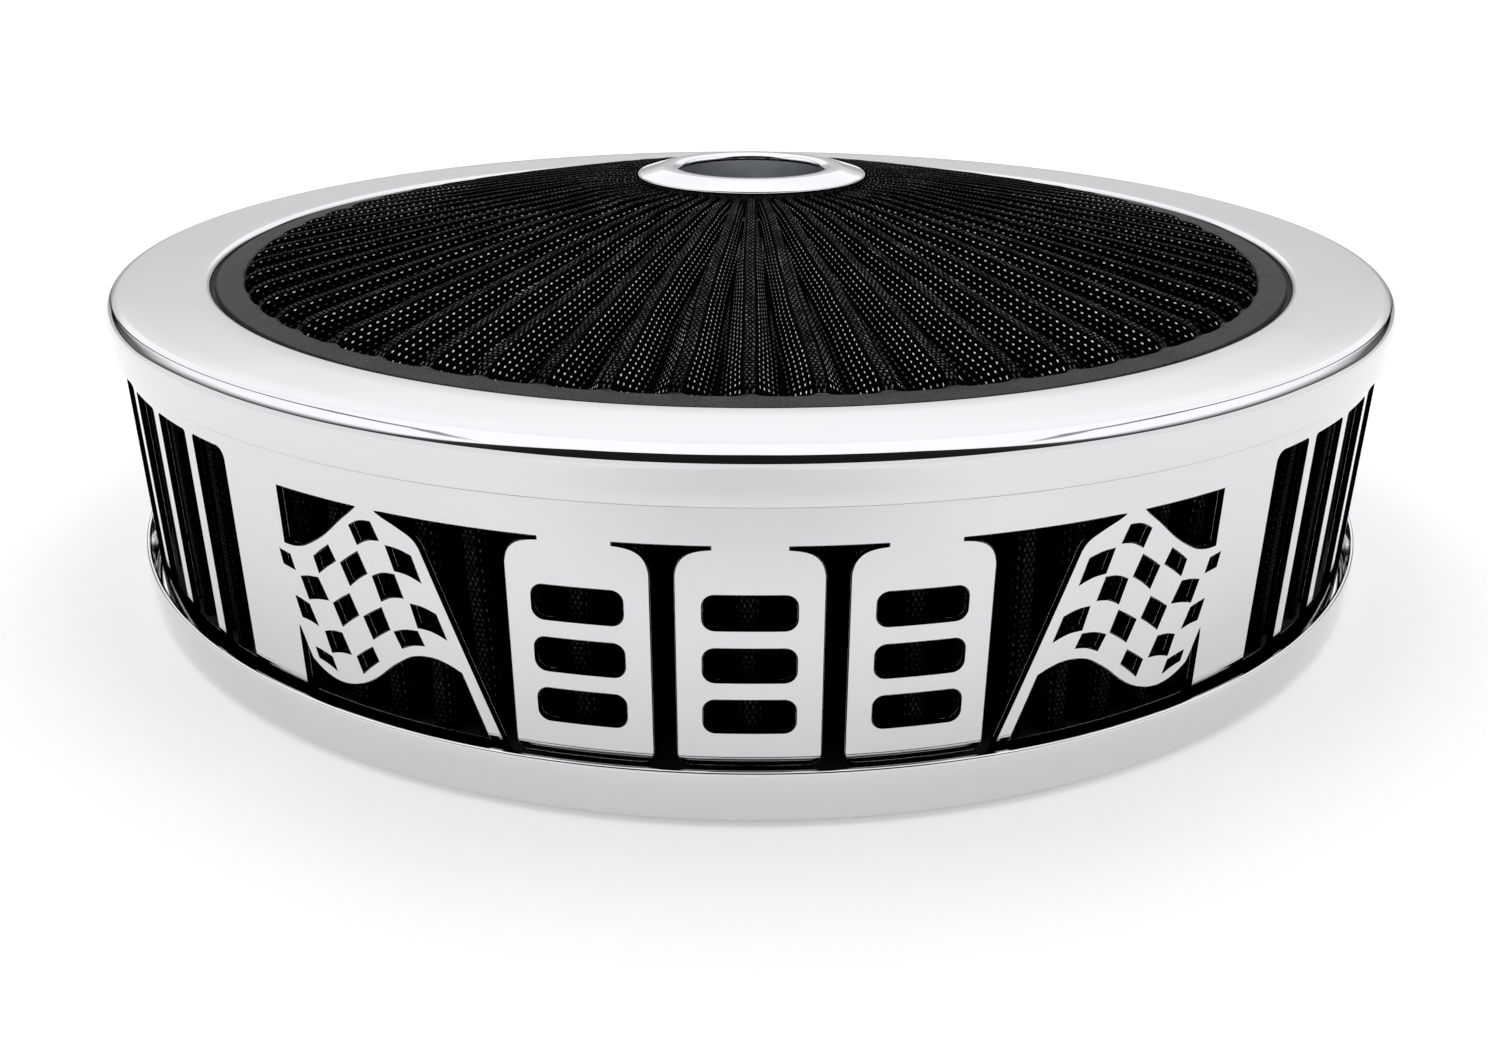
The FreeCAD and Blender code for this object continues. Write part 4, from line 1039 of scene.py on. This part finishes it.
world = bpy.data.worlds.new("studio")
scene.world = world
world.use_nodes = True
world.node_tree.nodes.clear()
g = Nodes(world.node_tree)
out = g.new("ShaderNodeOutputWorld")
bg = g.new("ShaderNodeBackground")
g.link(bg.outputs[0], out.inputs[0])
tc = g.new("ShaderNodeTexCoord")
sp = g.new("ShaderNodeSeparateXYZ")
g.link(tc.outputs["Generated"], sp.inputs[0])
el = g.math("MULTIPLY", g.math("ARCSINE", sp.outputs[2]), 180 / math.pi)
az = g.math("ABSOLUTE", g.math("MULTIPLY", g.math("ARCTAN2", sp.outputs[0], g.math("MULTIPLY", sp.outputs[1], -1.0)), 180 / math.pi))


def by_az(stops):
    """Colour ramp over the compass angle; stops are (degrees, r, g, b)."""
    nd = g.new("ShaderNodeValToRGB")
    g.link(g.math("DIVIDE", az, 180.0), nd.inputs[0])
    er = nd.color_ramp.elements
    er.remove(er[1])
    er[0].position = stops[0][0] / 180.0
    er[0].color = tuple(stops[0][1:]) + (1,)
    for stop in stops[1:]:
        e = er.new(stop[0] / 180.0)
        e.color = tuple(stop[1:]) + (1,)
    s3 = g.new("ShaderNodeSeparateColor")
    g.link(nd.outputs[0], s3.inputs[0])
    return s3.outputs


def band(stops, soft):
    """Dark band round the room: elevation of its middle / 90, half its width / 30 and its depth."""
    c3 = by_az(stops)
    d = g.math("ABSOLUTE", g.math("SUBTRACT", el, g.math("MULTIPLY", c3[0], 90.0)))
    t = g.math("DIVIDE", g.math("SUBTRACT", d, g.math("MULTIPLY", c3[1], 30.0)), soft, clamp=True)
    return g.math("MULTIPLY", g.math("SUBTRACT", 1.0, t), c3[2])


back = g.math("ADD", g.lerp(g.ramp01(el, 7.0, 10.5), 0.5, 0.80), g.math("MULTIPLY", g.ramp01(el, 11.5, 18.0), 0.52))
front = g.lerp(g.ramp01(el, 14.0, 34.0), 1.10, 1.45)
grad = g.lerp(g.ramp01(az, 108.0, 146.0), front, back)
grad = g.lerp(g.ramp01(el, 30.0, 50.0), grad, 1.5)


def shade(stops):
    """Dark shape round the room: lower edge, how far it stays dark above it, how far it takes to clear, and its depth."""
    c3 = by_az([(s[0], s[1] / 90, s[2] / 60, s[3] / 20) for s in stops])
    depth = by_az([(s[0], s[4], 0, 0) for s in stops])[0]
    up = g.math("SUBTRACT", el, g.math("MULTIPLY", c3[0], 90.0))
    lower = g.math("ADD", up, 0.5, clamp=True)
    clear = g.math("DIVIDE", g.math("SUBTRACT", up, g.math("MULTIPLY", c3[1], 60.0)), g.math("MULTIPLY", c3[2], 20.0), clamp=True)
    body = g.math("MULTIPLY", g.math("MULTIPLY", lower, g.math("SUBTRACT", 1.0, clear)), depth)
    on_edge = g.math("SUBTRACT", 1.0, g.math("SUBTRACT", g.math("ABSOLUTE", g.math("SUBTRACT", up, 0.8)), 0.7), clamp=True)
    where = g.math("MULTIPLY", g.ramp01(az, 60.0, 74.0), g.math("SUBTRACT", 1.0, g.ramp01(az, 139.0, 144.0)))
    return g.math("MAXIMUM", body, g.math("MULTIPLY", g.math("MULTIPLY", on_edge, where), 0.95))


b1 = shade([(0, 20, 47, 2, 0.99), (30, 20, 43, 2, 0.99), (44, 20.5, 37, 3, 0.985), (52, 20, 22, 5, 0.97), (57, 20, 12, 8, 0.95), (64, 19.5, 7, 9, 0.94),
            (80, 18.5, 3, 14, 0.92), (103, 16.5, 2, 12, 0.90), (114, 11, 3, 16, 0.86), (121, 6.5, 5, 14, 0.82), (128, 6, 9, 12, 0.80), (134, 6, 9, 8, 0.86),
            (138, 6.3, 5, 1.5, 0.99), (141, 6.5, 3.8, 1.5, 0.99), (145, 0, 4, 2, 0.5), (150, 0, 1, 2, 0.0)])
b2 = band([(60, 50 / 90, 0.5 / 30, 0.0), (72, 53 / 90, 1.2 / 30, 0.6), (85, 55.5 / 90, 1.3 / 30, 0.7), (100, 57 / 90, 1.3 / 30, 0.7), (115, 53 / 90, 1.6 / 30, 0.75),
           (126, 47 / 90, 2.5 / 30, 0.8), (131, 42 / 90, 4.0 / 30, 0.85), (134.5, 33 / 90, 5.0 / 30, 0.9), (137, 21 / 90, 5.0 / 30, 0.95),
           (139.5, 13 / 90, 3.0 / 30, 0.98), (142, 9 / 90, 2.0 / 30, 0.0)], 1.0)
dark = g.math("MAXIMUM", b1, b2)
val = g.math("MULTIPLY", grad, g.math("SUBTRACT", 1.0, dark))
g.link(val, bg.inputs["Strength"])
bg.inputs["Color"].default_value = (0.972, 0.986, 1.0, 1)

cam = bpy.data.cameras.new("camera")
cam.lens = 32.588
cam.sensor_width = 36.0
cam.sensor_fit = "HORIZONTAL"
cam.shift_x = -0.00424
cam.clip_start = 0.01
cam.clip_end = 200.0
camo = bpy.data.objects.new("camera", cam)
scene.collection.objects.link(camo)
camo.matrix_world = Matrix.Translation((0, -0.40702, 0.16804)) @ Matrix.Rotation(math.radians(65.953), 4, "X") @ Matrix.Rotation(0.0036, 4, "Z")
scene.camera = camo
scene.view_settings.view_transform = "Standard"
scene.view_settings.look = "None"
